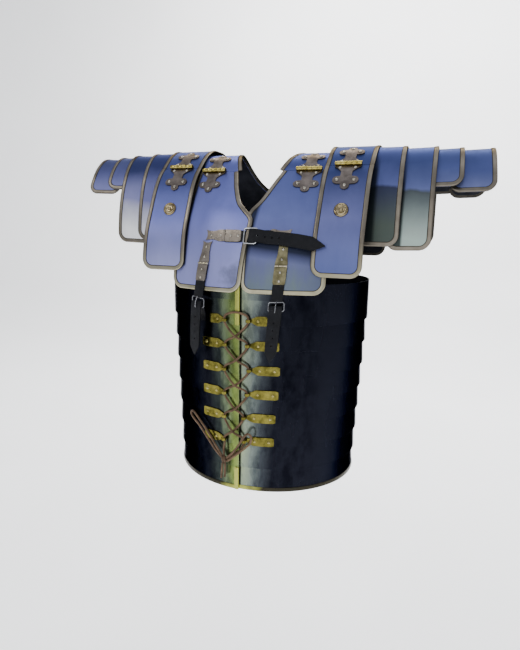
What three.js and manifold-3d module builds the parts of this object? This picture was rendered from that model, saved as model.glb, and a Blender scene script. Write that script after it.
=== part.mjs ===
// Roman segmented plate armour for the torso, in millimetres, +Z up.
// The front faces -Y and the wearer's left side is +X. The origin lies between
// the shoulders, level with the inside of the collar plates, where the wearer bears it.

import * as THREE from 'three';
import { mergeVertices } from 'three/addons/utils/BufferGeometryUtils.js';
import Module from 'manifold-3d';

const wasm = await Module();
wasm.setup();

// Driving dimensions
const SHEET = 1.4; // steel plate
const SEAM = 0.3; // gap kept between pieces that touch
const BINDING = { width: 8, proud: 1.0, step: 0.6 }; // brass edging folded over a plate's rim
const CORNER = 20; // radius of a plate's corners
const BRASS = 1.3; // sheet of leaves and fittings
const LEATHER = 2.4;
const BUCKLE_LEATHER = 2.2; // short straps that hold the drop buckles
const PLAY = 0.5; // room left inside a lap, beyond the seam
const LACE = 4.0; // diameter of the round thong
const HOOPS = {
  count: 8, top: -227, firstBottom: -299, lastBottom: -606, lap: 12,
  widthTop: 193, widthBottom: 176, opening: 1.6, segments: 17,
  frontRight: 160.6, frontLeft: 157, back: 151.8,
};

// Body plates: the line from the front's lower edge over the shoulder and down the back
const BODY_LINE = [
  { y: -162, z: -243 }, { y: -157, z: -200 }, { y: -146, z: -150 }, { y: -128, z: -108 },
  { y: -97, z: -67 }, { y: -64, z: -35 }, { y: -36, z: -11 }, { y: 0, z: 0.7 }, { y: 40, z: -6 },
  { y: 76, z: -30 }, { y: 108, z: -70 }, { y: 132, z: -122 }, { y: 148, z: -182 }, { y: 156, z: -245 },
];
const BODY_BEND = { perSquare: 0.0014, fullDepth: 120 }; // how the plates wrap round the chest
const BODY_SEAM_ROW = 5; // row of BODY_LINE where the breastplate hinges on the collar plate
// The wearer's right breastplate laps outside the left one: how far, between which
// distances below the seam and which distances from the middle it comes forward
const LAP = { rise: 3.2, below: 60, fullBelow: 95, fullWithin: 60, within: 105 };

// Upper shoulder guards: the line from the front end over the shoulder to the back end
const GUARD_LINE = [
  { y: -141.5, z: -212 }, { y: -138, z: -180 }, { y: -130, z: -145 }, { y: -111, z: -102 },
  { y: -94, z: -67 }, { y: -77, z: -43 }, { y: -61, z: -28 }, { y: -32, z: -4 }, { y: -4, z: 9 },
  { y: 20, z: 10.6 }, { y: 46, z: 9 }, { y: 72, z: 0.5 }, { y: 97, z: -20 }, { y: 115, z: -60 },
  { y: 123.5, z: -110 }, { y: 128.5, z: -150 }, { y: 132, z: -190 },
];
const GUARD_SEAM_ROW = 6; // row of GUARD_LINE where the front plate hinges on the top plate
// Edges at the front end, how much the inner one moves out by the seam, and how much the
// outer one spreads by the back end
const GUARD = { inner: 116, outer: 201, taper: 2, spread: 5 };
const HINGED_GAP = 0.8; // between a plate's hinged edge and the middle of the seam
const BOSS = { x: 158, below: 92, radius: 12.5, sunk: 0.2 }; // below the seam, along the plate
const BOSS_PROFILE = [ // from the foot to the middle of the dished boss, as shares of its radius
  { r: 0, h: -0.14 }, { r: 0.95, h: -0.14 }, { r: 1, h: 0.05 }, { r: 0.72, h: 0.19 }, { r: 0.3, h: 0.13 },
  { r: 0.25, h: 0.34 }, { r: 0, h: 0.38 },
];

// Lesser guards, inner to outer: each arches over the shoulder behind the one before it
const LESSER = [ // edges, centre of the front quarter, height of the ridge, reach of the back quarter, ends
  { inner: 176, outer: 249, centre: 5, ridge: 7.6, tilt: 0, reach: 77, front: -162, back: -160, backIn: 0 },
  { inner: 227, outer: 301, centre: 15, ridge: 7, tilt: 0.03, reach: 74, front: -167, back: -165, backIn: 2 },
  { inner: 275, outer: 344, centre: 24, ridge: 4.9, tilt: 0.03, reach: 69, front: -62, back: -67, backIn: 6 },
  { inner: 320, outer: 396, centre: 37, ridge: 4.4, tilt: 0.03, reach: 66.5, front: -70, back: -74, backIn: 11 },
];
const ARCH = { centreZ: -170, frontReach: 83, backCentre: 40, quarterSteps: 6 };

// Distances along the body line, measured from the collar seam, and the plate's edges there
const BREAST_EDGES = [ // below the seam: neck and front edge (right and left plate), armhole edge
  { down: 0, right: 43, left: 43, arm: 122 }, { down: 20, right: 37, left: 37, arm: 122 },
  { down: 46, right: 29, left: 29, arm: 123 }, { down: 76, right: 16, left: 17, arm: 126 },
  { down: 93, right: 1, left: 5, arm: 129 }, { down: 103, right: -9, left: 1.5, arm: 131 },
  { down: 114, right: -14, left: 0.8, arm: 133 }, { down: 158, right: -8.5, left: 0.6, arm: 138 },
  { down: 198, right: -4.5, left: 0.5, arm: 141 }, { down: 240, right: -1, left: 0.5, arm: 141 },
];
const COLLAR_EDGES = [ // past the seam, over the shoulder and down the back
  { up: 0, neck: 43, arm: 122 }, { up: 35, neck: 54, arm: 128 }, { up: 74, neck: 65, arm: 134 },
  { up: 114, neck: 71, arm: 136 }, { up: 150, neck: 69, arm: 137 }, { up: 180, neck: 59, arm: 138 },
  { up: 202, neck: 43, arm: 139 }, { up: 220, neck: 22, arm: 141 }, { up: 234, neck: 4, arm: 142 },
  { up: 244, neck: 1.6, arm: 143 }, { up: 400, neck: 1.6, arm: 148 },
];

// Ornamental hinges on the collar and the upper guards
const HINGE = {
  halfWidth: 23, barrel: 3.6, pin: 1.5, bore: 1.9, middle: 8.2, clear: 4.9, overlap: 1, collarX: 90, guardX: 158,
};
const LEAF_WIDTHS = [ // half width of a leaf at each distance from the barrel
  { d: 0, w: 23 }, { d: 5, w: 22 }, { d: 11, w: 17.5 }, { d: 17, w: 10 }, { d: 26, w: 9 }, { d: 30, w: 17 },
  { d: 33, w: 21 }, { d: 37, w: 22 }, { d: 41, w: 19 }, { d: 44, w: 8 }, { d: 50, w: 7 }, { d: 55, w: 2.6 },
];

// Chest fitting and buckle of the wearer's right plate, along X; out is above the plate's middle
const CHEST_Z = -148.5;
const CHEST_FITTING = [
  { x: -70, out: 1.65, half: 9.5 }, { x: -64, out: 1.65, half: 8 }, { x: -54, out: 1.65, half: 7.6 },
  { x: -44, out: 1.65, half: 10 }, { x: -33, out: 1.65, half: 10.5 }, { x: -9, out: 1.65, half: 10.5 },
  { x: -2, out: 2.95, half: 10.5 }, { x: 4, out: 2.95, half: 10.5 },
];
const CHEST_BUCKLE = { from: 2, to: 27, half: 15, rod: 3, thick: 2.4, out: 3.9 };
const CHEST_ANCHOR = [ // fitting that holds the strap on the wearer's left plate
  { x: 45, half: 8.5 }, { x: 51, half: 11 }, { x: 62, half: 8.8 }, { x: 74, half: 9 }, { x: 82, half: 11.5 },
];
const CHEST_STRAP = { // its hidden run, from the rivets to the fold round the buckle's bar
  run: [82, 60, 38, 15.5], out: 4.2, foldX: 15.5, foldRadius: 2.8, half: 10.5, drop: -1,
};
const CHEST_STRAP_END = [ // the free end, from the buckle to its point; drop is how far it sinks
  { x: 27.5, out: 9.8, half: 10.5, drop: -1.1 }, { x: 44, out: 7.8, half: 10.5, drop: -3.5 },
  { x: 62, out: 7.8, half: 10.5, drop: -4.5 }, { x: 90, out: 11, half: 11, drop: -8.5 },
  { x: 117, out: 15.4, half: 11, drop: -14 }, { x: 134, out: 18.4, half: 1.2, drop: -17.5 },
];

// Drop fittings, their buckles and the straps that hold the breastplates to the first hoop
const DROP_FITTING = [
  { z: -165, half: 9 }, { z: -170, half: 7.8 }, { z: -180, half: 8.2 }, { z: -192, half: 10.5 },
  { z: -227, half: 10.5 },
];
const DROP_FOOT = DROP_FITTING[DROP_FITTING.length - 1].z;
const DROP_X = { right: { top: -66, foot: -75, lean: -0.09 }, left: { top: 71, foot: 67, lean: -0.07 } };
const DROP_BUCKLE = {
  leatherTop: -228.5, bar: -254, foot: -272, half: 15, leatherHalf: 9.5, rod: 3, out: 3.3,
};
const DROP_STRAP = [ // from the rivet on the hoop up behind the buckle's bar, over it and down to the tip
  { z: -296, out: -10.6, half: 10.5 }, { z: -285, out: -9.2, half: 10.5 }, { z: -276, out: -4.4, half: 10.5 },
  { z: -267, out: 0.3, half: 10.5 }, { z: -263.6, out: 1.2, half: 10.5 }, { z: -262.2, out: 3.3, half: 10.5 },
  { z: -263.6, out: 5.4, half: 10.5 }, { z: -267, out: 6.4, half: 10.5 }, { z: -300, out: 3.4, half: 10.5 },
  { z: -342, out: -1.5, half: 10 }, { z: -358, out: -3.6, half: 1.5 },
];

// Tie hooks, one pair on each of the first six hoops, and the lace through them
const HOOK = {
  above: 8.5, halfHeight: 8.4, tipHalf: 2.6, curl: 4.6, sheet: 1.2, low: SHEET / 2 + SEAM + 0.3,
  shoulder: 13, root: 4, // distances from the tip where the plate starts to narrow and where the eye starts
};
const HOOK_PLACES = [ // distance of each hook's outer end and tip from the opening, on each side
  { right: { end: 58, tip: 26 }, left: { end: 48, tip: 16 } },
  { right: { end: 74, tip: 25 }, left: { end: 68, tip: 15 } },
  { right: { end: 73, tip: 26 }, left: { end: 70, tip: 18 } },
  { right: { end: 73, tip: 26 }, left: { end: 68, tip: 15 } },
  { right: { end: 73, tip: 26 }, left: { end: 64, tip: 9 } },
  { right: { end: 71, tip: 27 }, left: { end: 62, tip: 10 } },
];

const BACK_LEATHER = { halfWidth: 21, top: -232, bottom: -600, middleY: 148.1, edgeY: 146.9 };

// Route of the lace: one tail, a bow loop, the crossings up and down the hooks, the other loop and tail
const KNOT = { x: -25.5, y: -168.5, z: -546.5, wide: 6.8, deep: 5.4 };
const LACE_STEPS = { firstTail: 5, longLoop: 22, crossings: 80, shortLoop: 16, secondTail: 5 };
const LACE_ROUTE = {
  firstTail: [[-27, -168.5, -548], [-29.5, -168.5, -563], [-31, -168, -585]],
  longLoop: [
    [-30, -168.2, -541], [-46, -164.5, -522], [-63, -159.5, -502], [-84, -151, -484], [-99, -143.5, -474],
    [-105, -140.5, -479], [-98, -144, -487.5], [-82, -152, -497], [-64, -159.5, -513], [-46, -164.5, -532],
    [-30, -168.2, -545],
  ],
  crossings: [
    [-26, -168, -543], [-27, -166.4, -527], [-25.5, -165, -516], [-25.5, -165, -504], [-9, -165.2, -492],
    [7, -162.6, -472], [7, -162.6, -460], [-8, -165.2, -449], [-24.5, -165, -428], [-24.5, -165, -416],
    [-4, -165.2, -405], [16, -162.4, -384], [16, -162.4, -372], [-3, -165.2, -361], [-23.5, -165, -340],
    [-23.5, -165, -328], [-5, -165.2, -317], [14.5, -162.4, -297], [15.5, -162.4, -284], [8, -164.5, -278.5],
    [-5, -166, -276], [-18, -165.6, -278.5], [-25.8, -165, -284], [-25, -165, -297], [-5, -170, -317],
    [13, -162.4, -328], [13, -162.4, -341], [-5, -170, -361], [-24.5, -165, -372], [-24.5, -165, -385],
    [-5, -170, -405], [13, -162.4, -416], [13, -162.4, -429], [-5, -170, -449], [-24.5, -165, -460],
    [-24.5, -165, -473], [-8, -170, -492], [8, -162.6, -504], [9, -162.6, -516], [2, -165.6, -529],
    [-12, -167.6, -540], [-22, -168, -545],
  ],
  shortLoop: [
    [-20, -170, -543], [-6, -173, -529], [6, -174, -511], [15, -174, -496], [22, -173.6, -490],
    [28, -173.2, -495], [26, -173.6, -507], [15, -174, -519], [2, -173, -531], [-18, -170, -549],
  ],
  secondTail: [[-24.5, -168.5, -548], [-23.5, -169, -563], [-24.5, -168.5, -582]],
};

// Finishes
const blueSteel = new THREE.MeshStandardMaterial({ color: 0x7d87b8, roughness: 0.25, metalness: 1 });
const darkSteel = new THREE.MeshStandardMaterial({ color: 0x3a3d4a, roughness: 0.22, metalness: 1 });
const brass = new THREE.MeshStandardMaterial({ color: 0xb9a06a, roughness: 0.35, metalness: 1 });
const steelFitting = new THREE.MeshStandardMaterial({ color: 0xc4c8cc, roughness: 0.25, metalness: 1 });
const blackLeather = new THREE.MeshStandardMaterial({ color: 0x1c1b1d, roughness: 0.6, metalness: 0 });
const brownLeather = new THREE.MeshStandardMaterial({ color: 0x7d5f4b, roughness: 0.75, metalness: 0 });

const armour = new THREE.Group();

function add(name, geometry, material) {
  const mesh = new THREE.Mesh(geometry, material);
  mesh.name = name;
  armour.add(mesh);
}

// Points between the rows of a table, on a smooth curve through them, so many to each row
const LINE_STEPS = 10;

function smoothLine(rows) {
  const line = [];
  const blend = (a, b, c, d, t) =>
    0.5 * (2 * b + (c - a) * t + (2 * a - 5 * b + 4 * c - d) * t * t + (3 * b - a - 3 * c + d) * t * t * t);
  for (let i = 0; i < rows.length - 1; i += 1) {
    const a = rows[Math.max(i - 1, 0)];
    const b = rows[i];
    const c = rows[i + 1];
    const d = rows[Math.min(i + 2, rows.length - 1)];
    for (let k = 0; k < LINE_STEPS; k += 1) {
      const t = k / LINE_STEPS;
      line.push({ y: blend(a.y, b.y, c.y, d.y, t), z: blend(a.z, b.z, c.z, d.z, t) });
    }
  }
  line.push(rows[rows.length - 1]);
  return line;
}

// A line measured along its length
function measured(line) {
  const reach = [0];
  for (let i = 1; i < line.length; i += 1) {
    reach.push(reach[i - 1] + Math.hypot(line[i].y - line[i - 1].y, line[i].z - line[i - 1].z));
  }
  const length = reach[reach.length - 1];
  const at = (s) => {
    let i = 1;
    while (i < line.length - 1 && reach[i] < s) i += 1;
    const t = (s - reach[i - 1]) / (reach[i] - reach[i - 1]);
    return {
      y: line[i - 1].y + t * (line[i].y - line[i - 1].y),
      z: line[i - 1].z + t * (line[i].z - line[i - 1].z),
    };
  };
  return { length, at, reach };
}

// Value of one column of a table at a place between its rows
function lookUp(table, key, column, place) {
  let i = 1;
  while (i < table.length - 1 && table[i][key] < place) i += 1;
  const t = (place - table[i - 1][key]) / (table[i][key] - table[i - 1][key]);
  return table[i - 1][column] + t * (table[i][column] - table[i - 1][column]);
}

const body = measured(smoothLine(BODY_LINE));
const bodySeam = body.reach[BODY_SEAM_ROW * LINE_STEPS];
const guard = measured(smoothLine(GUARD_LINE));
const guardSeam = guard.reach[GUARD_SEAM_ROW * LINE_STEPS];

function bodySurface(s, x) {
  const p = body.at(s);
  const t = THREE.MathUtils.clamp(-p.z / BODY_BEND.fullDepth, 0, 1);
  const wrap = BODY_BEND.perSquare * t * t * (3 - 2 * t) * x * x;
  return new THREE.Vector3(x, p.y - Math.sign(p.y) * wrap, p.z);
}

function guardSurface(s, x) {
  const p = guard.at(s);
  return new THREE.Vector3(x, p.y, p.z);
}

// A point moved out of a surface along its normal
function lifted(surface, s, x, out) {
  const e = 1.5;
  const along = surface(s + e, x).sub(surface(s - e, x));
  const across = surface(s, x + e).sub(surface(s, x - e));
  return surface(s, x).addScaledVector(across.cross(along).normalize(), out);
}

// Place on the body line's straight foot or front where it has a given height
function bodyAtHeight(z) {
  const slope = (body.at(1).z - body.at(0).z);
  if (z <= body.at(0).z) return (z - body.at(0).z) / slope;
  let s = 0;
  while (body.at(s).z < z) s += 0.5;
  return s;
}

// The wearer's left breastplate lies on the body surface and the right one laps outside it
function breastSurface(side) {
  if (side > 0) return bodySurface;
  return (s, x) => {
    const down = THREE.MathUtils.clamp((bodySeam - s - LAP.below) / (LAP.fullBelow - LAP.below), 0, 1);
    const near = THREE.MathUtils.clamp((LAP.within + x) / (LAP.within - LAP.fullWithin), 0, 1);
    const p = bodySurface(s, x);
    return p.setY(p.y - LAP.rise * down * near);
  };
}

// Closed wall over a grid whose points each have an inner and an outer end
function wall(grid) {
  const rows = grid.length;
  const columns = grid[0].length;
  const points = [];
  for (const row of grid) for (const cell of row) points.push(cell.inner, cell.outer);
  const inner = (i, j) => 2 * (i * columns + j);
  const outer = (i, j) => inner(i, j) + 1;
  const faces = [];
  const quad = (a, b, c, d) => faces.push(a, b, c, a, c, d);
  for (let i = 0; i < rows - 1; i += 1) {
    for (let j = 0; j < columns - 1; j += 1) {
      quad(outer(i, j), outer(i, j + 1), outer(i + 1, j + 1), outer(i + 1, j));
      quad(inner(i, j), inner(i + 1, j), inner(i + 1, j + 1), inner(i, j + 1));
    }
    quad(inner(i, 0), outer(i, 0), outer(i + 1, 0), inner(i + 1, 0));
    const last = columns - 1;
    quad(outer(i, last), inner(i, last), inner(i + 1, last), outer(i + 1, last));
  }
  for (let j = 0; j < columns - 1; j += 1) {
    quad(outer(0, j), inner(0, j), inner(0, j + 1), outer(0, j + 1));
    const last = rows - 1;
    quad(inner(last, j), outer(last, j), outer(last, j + 1), inner(last, j + 1));
  }
  return closed(points, faces);
}

// Geometry from shared points, turned so that its faces point out
function closed(points, faces) {
  let volume = 0;
  for (let i = 0; i < faces.length; i += 3) {
    volume += points[faces[i]].dot(points[faces[i + 1]].clone().cross(points[faces[i + 2]]));
  }
  const ordered = volume > 0 ? faces : [...faces].reverse();
  const geometry = new THREE.BufferGeometry();
  const places = points.flatMap((p) => [p.x, p.y, p.z]);
  geometry.setAttribute('position', new THREE.Float32BufferAttribute(places, 3));
  geometry.setIndex(ordered);
  return geometry;
}

function toSolid(geometry) {
  let g = geometry.clone();
  g.deleteAttribute('normal');
  g.deleteAttribute('uv');
  g = mergeVertices(g, 1e-4);
  const mesh = new wasm.Mesh({
    numProp: 3,
    vertProperties: new Float32Array(g.attributes.position.array),
    triVerts: new Uint32Array(g.index.array),
  });
  return new wasm.Manifold(mesh);
}

function toGeometry(solid) {
  const mesh = solid.getMesh();
  const geometry = new THREE.BufferGeometry();
  geometry.setAttribute('position', new THREE.BufferAttribute(new Float32Array(mesh.vertProperties), 3));
  geometry.setIndex(Array.from(mesh.triVerts));
  return geometry;
}

const joined = (geometries) => toGeometry(geometries.map(toSolid).reduce((a, b) => a.add(b)));

// How far a rounded corner draws an edge in, at a distance from the plate's end
const drawnIn = (radius, distance) =>
  distance >= radius ? 0 : radius - Math.sqrt(Math.max(radius * radius - (radius - distance) ** 2, 0));

// Plate on a surface between two edges, with raised binding on the sides that have it.
// ends holds, for the first and last end, whether it is bound and its corner radius.
function plate({ surface, stations, edgeA, edgeB, boundA, boundB, ends, inside = 0, side = 1 }) {
  const { width, proud, step } = BINDING;
  const first = stations[0];
  const last = stations[stations.length - 1];
  const near = [0, 3]; // rows that round a corner's tightest part
  const rowsAt = new Set(stations.filter((s) => {
    const clearFirst = s - first > (ends[0].radius || 1);
    const clearLast = last - s > (ends[1].radius || 1);
    return clearFirst && clearLast;
  }));
  for (const [end, from, way] of [[ends[0], first, 1], [ends[1], last, -1]]) {
    if (!end.radius) {
      rowsAt.add(from);
      if (end.bound) rowsAt.add(from + way * width).add(from + way * (width + step));
    } else {
      for (const d of near) rowsAt.add(from + way * d);
      const drops = end.bound ? [width, width + step, end.radius] : [end.radius];
      for (const d of drops) rowsAt.add(from + way * d);
    }
  }
  const rows = [...rowsAt].sort((a, b) => a - b);
  const grid = rows.map((s) => {
    const distances = [s - first, last - s];
    const inEnd = ends.some((end, k) => end.bound && distances[k] < width + 0.01);
    const draw = (bound, extra) => Math.max(...ends.map((end, k) => {
      if (!extra) return drawnIn(end.radius, distances[k]);
      const radius = Math.max(end.radius - width, 0);
      if (end.bound && distances[k] < width) return bound ? radius : 0;
      return end.bound ? drawnIn(radius, distances[k] - width) : 0;
    }));
    const a = edgeA(s);
    const b = edgeB(s);
    const cells = [{ x: a + draw(boundA, false), up: boundA || inEnd }];
    let from = cells[0].x;
    if (boundA) {
      from = Math.max(a + width + draw(true, true), cells[0].x + step);
      cells.push({ x: from, up: true }, { x: from + step, up: inEnd });
      from += step;
    }
    let to = b - draw(boundB, false);
    const tail = [{ x: to, up: boundB || inEnd }];
    if (boundB) {
      to = Math.min(b - width - draw(true, true), tail[0].x - step);
      tail.unshift({ x: to - step, up: inEnd }, { x: to, up: true });
      to -= step;
    }
    for (let k = 1; k <= inside; k += 1) {
      cells.push({ x: from + ((to - from) * k) / (inside + 1), up: inEnd });
    }
    cells.push(...tail);
    return cells.map((c) => ({
      inner: lifted(surface, s, side * c.x, -SHEET / 2),
      outer: lifted(surface, s, side * c.x, SHEET / 2 + (c.up ? proud : 0)),
    }));
  });
  return wall(grid);
}

const spaced = (from, to, count) =>
  Array.from({ length: count + 1 }, (_, k) => from + ((to - from) * k) / count);

// Breastplates, hinged on the collar plates, the wearer's right one outside the left
function breastplate(side) {
  const column = side < 0 ? 'right' : 'left';
  return plate({
    surface: breastSurface(side),
    stations: spaced(0, bodySeam - HINGED_GAP, 11),
    edgeA: (s) => lookUp(BREAST_EDGES, 'down', column, bodySeam - s),
    edgeB: (s) => lookUp(BREAST_EDGES, 'down', 'arm', bodySeam - s),
    boundA: true,
    boundB: true,
    ends: [{ bound: true, radius: CORNER }, { bound: false, radius: 0 }],
    inside: 3,
    side,
  });
}

function collarPlate(side) {
  return plate({
    surface: bodySurface,
    stations: spaced(bodySeam + HINGED_GAP, body.length, 17),
    edgeA: (s) => lookUp(COLLAR_EDGES, 'up', 'neck', s - bodySeam),
    edgeB: (s) => lookUp(COLLAR_EDGES, 'up', 'arm', s - bodySeam),
    boundA: true,
    boundB: true,
    ends: [{ bound: false, radius: 0 }, { bound: true, radius: CORNER }],
    inside: 2,
    side,
  });
}

// Upper guards: a front plate that hangs from a hinge, and one over the top and down the back
function upperGuardFront(side) {
  const panel = plate({
    surface: guardSurface,
    stations: spaced(0, guardSeam - HINGED_GAP, 9),
    edgeA: (s) => GUARD.inner + (GUARD.taper * s) / guardSeam,
    edgeB: () => GUARD.outer,
    boundA: true,
    boundB: true,
    ends: [{ bound: true, radius: CORNER }, { bound: false, radius: 0 }],
    side,
  });
  const profile = BOSS_PROFILE.map(({ r, h }) => new THREE.Vector2(BOSS.radius * r, BOSS.radius * h));
  const dome = new THREE.LatheGeometry(profile, 12);
  const s = guardSeam - BOSS.below;
  const foot = lifted(guardSurface, s, side * BOSS.x, SHEET / 2 + BOSS.sunk);
  const up = lifted(guardSurface, s, side * BOSS.x, BOSS.radius).sub(foot).normalize();
  dome.applyQuaternion(new THREE.Quaternion().setFromUnitVectors(new THREE.Vector3(0, 1, 0), up));
  dome.translate(foot.x, foot.y, foot.z);
  return joined([panel, dome]);
}

function upperGuardTop(side) {
  return plate({
    surface: guardSurface,
    stations: spaced(guardSeam + HINGED_GAP, guard.length, 16),
    edgeA: () => GUARD.inner + GUARD.taper,
    edgeB: (s) => GUARD.outer + (GUARD.spread * (s - guardSeam)) / (guard.length - guardSeam),
    boundA: true,
    boundB: true,
    ends: [{ bound: false, radius: 0 }, { bound: true, radius: CORNER }],
    side,
  });
}

// Lesser guards: arched strips, each tucked under the one nearer the neck
function lesserGuard(row, side) {
  const height = row.ridge - ARCH.centreZ;
  const line = [];
  const lowFront = Math.asin((row.front - ARCH.centreZ) / height);
  const lowBack = Math.asin((row.back - ARCH.centreZ) / height);
  for (let k = 0; k <= ARCH.quarterSteps; k += 1) {
    const angle = lowFront + ((Math.PI / 2 - lowFront) * k) / ARCH.quarterSteps;
    const y = row.centre - ARCH.frontReach * Math.cos(angle);
    line.push({ y, z: ARCH.centreZ + height * Math.sin(angle) });
  }
  for (let k = 0; k <= ARCH.quarterSteps; k += 1) {
    const angle = Math.PI / 2 - ((Math.PI / 2 - lowBack) * k) / ARCH.quarterSteps;
    const y = ARCH.backCentre + row.reach * Math.cos(angle);
    line.push({ y, z: ARCH.centreZ + height * Math.sin(angle) });
  }
  const arch = measured(line);
  const surface = (s, x) => {
    const p = arch.at(s);
    return new THREE.Vector3(x, p.y, p.z + row.tilt * (Math.abs(x) - row.outer));
  };
  return plate({
    surface,
    stations: arch.reach,
    edgeA: () => row.inner,
    edgeB: (s) => row.outer - (row.backIn * s) / arch.length,
    boundA: false,
    boundB: true,
    ends: [{ bound: true, radius: CORNER }, { bound: true, radius: CORNER }],
    side,
  });
}

// Strip of a width that varies along its length, lying on a surface
function strip(surface, rows, low, high) {
  return wall(rows.map(({ s, from, to }) => [from, (from + to) / 2, to].map((x) => ({
    inner: lifted(surface, s, x, low),
    outer: lifted(surface, s, x, high),
  }))));
}

const restLow = SHEET / 2 + SEAM;

// One leaf of an ornamental hinge, from the barrel along the plate
function leaf(surface, seam, way, x, start = 0) {
  const rows = LEAF_WIDTHS.filter((row) => row.d >= start).map((row) => (
    { s: seam + way * row.d, from: x - row.w, to: x + row.w }));
  if (start > 0) {
    const w = lookUp(LEAF_WIDTHS, 'd', 'w', start);
    rows.unshift({ s: seam + way * start, from: x - w, to: x + w });
  }
  return strip(surface, rows, restLow, restLow + BRASS);
}

// Round bar along a hinge's axis between two distances from its middle
function knuckle(surface, seam, x, radius, from, to, sides = 12) {
  const out = restLow + HINGE.barrel;
  const centre = lifted(surface, seam, x, out);
  const way = lifted(surface, seam, x + 20, out).sub(lifted(surface, seam, x - 20, out)).normalize();
  const bar = new THREE.CylinderGeometry(radius, radius, to - from, sides);
  bar.applyQuaternion(new THREE.Quaternion().setFromUnitVectors(new THREE.Vector3(0, 1, 0), way));
  const middle = centre.addScaledVector(way, (from + to) / 2);
  bar.translate(middle.x, middle.y, middle.z);
  return bar;
}

function fixedHinge(surface, seam, x) {
  return joined([
    leaf(surface, seam, 1, x), leaf(surface, seam, -1, x),
    knuckle(surface, seam, x, HINGE.barrel, -HINGE.halfWidth, HINGE.halfWidth),
  ]);
}

// The two halves of the hinge that moves: the upper holds the pin and the end knuckles
function hingeTab(x, way, from, to) {
  const ends = [0, HINGE.clear + HINGE.overlap];
  const rows = ends.map((d) => ({ s: guardSeam + way * d, from: x + from, to: x + to }));
  return strip(guardSurface, rows, restLow, restLow + BRASS);
}

function upperHingeHalf(x) {
  const { middle, halfWidth, barrel, pin, clear } = HINGE;
  const inner = middle + SEAM;
  return joined([
    leaf(guardSurface, guardSeam, 1, x, clear),
    hingeTab(x, 1, -halfWidth, -inner),
    hingeTab(x, 1, inner, halfWidth),
    knuckle(guardSurface, guardSeam, x, barrel, -halfWidth, -inner),
    knuckle(guardSurface, guardSeam, x, barrel, inner, halfWidth),
    knuckle(guardSurface, guardSeam, x, pin, -halfWidth + pin, halfWidth - pin),
  ]);
}

function lowerHingeHalf(x) {
  const { middle, barrel, bore, clear } = HINGE;
  const solid = [
    leaf(guardSurface, guardSeam, -1, x, clear), hingeTab(x, -1, -middle, middle),
    knuckle(guardSurface, guardSeam, x, barrel, -middle, middle),
  ].map(toSolid).reduce((a, b) => a.add(b));
  const hole = knuckle(guardSurface, guardSeam, x, bore, -middle - bore, middle + bore);
  return toGeometry(solid.subtract(toSolid(hole)));
}

// Half hoops: each one's foot laps outside the head of the next
const hoopPitch = (HOOPS.firstBottom - HOOPS.lastBottom) / (HOOPS.count - 1);
const hoopBottom = (i) => HOOPS.firstBottom - hoopPitch * i;
const hoopTop = (i) => (i === 0 ? HOOPS.top : hoopBottom(i - 1) + HOOPS.lap);
const tuck = SHEET + SEAM + PLAY; // how far a hoop's head lies inside the foot above it

function hoopSurface(i, side) {
  const front = side < 0 ? HOOPS.frontRight : HOOPS.frontLeft;
  const narrowing = (HOOPS.widthTop - HOOPS.widthBottom) / (HOOPS.count - 1);
  const width = HOOPS.widthTop - narrowing * i;
  const headWidth = i === 0 ? width : width + narrowing - tuck;
  const head = i === 0 ? 0 : tuck;
  return (angle, z) => {
    const t = THREE.MathUtils.clamp((hoopTop(i) - z) / (hoopTop(i) - hoopBottom(i)), 0, 1);
    const a = headWidth + (width - headWidth) * t;
    const depth = (Math.cos(angle) > 0 ? front : HOOPS.back) - head * (1 - t);
    return new THREE.Vector3(side * a * Math.sin(angle), -depth * Math.cos(angle), z);
  };
}

const openingAngle = Math.asin(HOOPS.opening / HOOPS.widthTop);
const bindingEnds = [BINDING.width, BINDING.width + BINDING.step];
const bindingAngles = bindingEnds.map((w) => openingAngle + w / HOOPS.widthTop);
const hoopAngles = spaced(openingAngle, Math.PI - openingAngle, HOOPS.segments);
hoopAngles.splice(1, 0, ...bindingAngles);

function hoop(i, side) {
  const surface = hoopSurface(i, side);
  const { width, proud, step } = BINDING;
  const top = hoopTop(i);
  const bottom = hoopBottom(i);
  const hem = i === HOOPS.count - 1;
  const edged = side < 0 && (i === 0 || hem);
  const lapFoot = top - HOOPS.lap;
  const hemLevels = [top, lapFoot, lapFoot - step, bottom + width + step, bottom + width, bottom];
  const levels = hem ? hemLevels : [top, bottom];
  const grid = hoopAngles.map((angle, k) => levels.map((z) => {
    const p = surface(angle, z);
    const way = surface(angle + 0.01, z).sub(surface(angle - 0.01, z)).normalize();
    const out = new THREE.Vector3(way.y * side, -way.x * side, 0);
    const clearOfLap = i === 0 || z < lapFoot;
    const raised = (edged && clearOfLap && k < 2) || (hem && z < bottom + width + 0.01);
    return {
      inner: p.clone().addScaledVector(out, -SHEET / 2),
      outer: p.clone().addScaledVector(out, SHEET / 2 + (raised ? proud : 0)),
    };
  }));
  return wall(grid);
}

// Outward normal of a hoop at an angle, level with the floor
function hoopNormal(i, side, angle, z) {
  const surface = hoopSurface(i, side);
  const way = surface(angle + 0.01, z).sub(surface(angle - 0.01, z)).normalize();
  return new THREE.Vector3(way.y * side, -way.x * side, 0);
}

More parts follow.
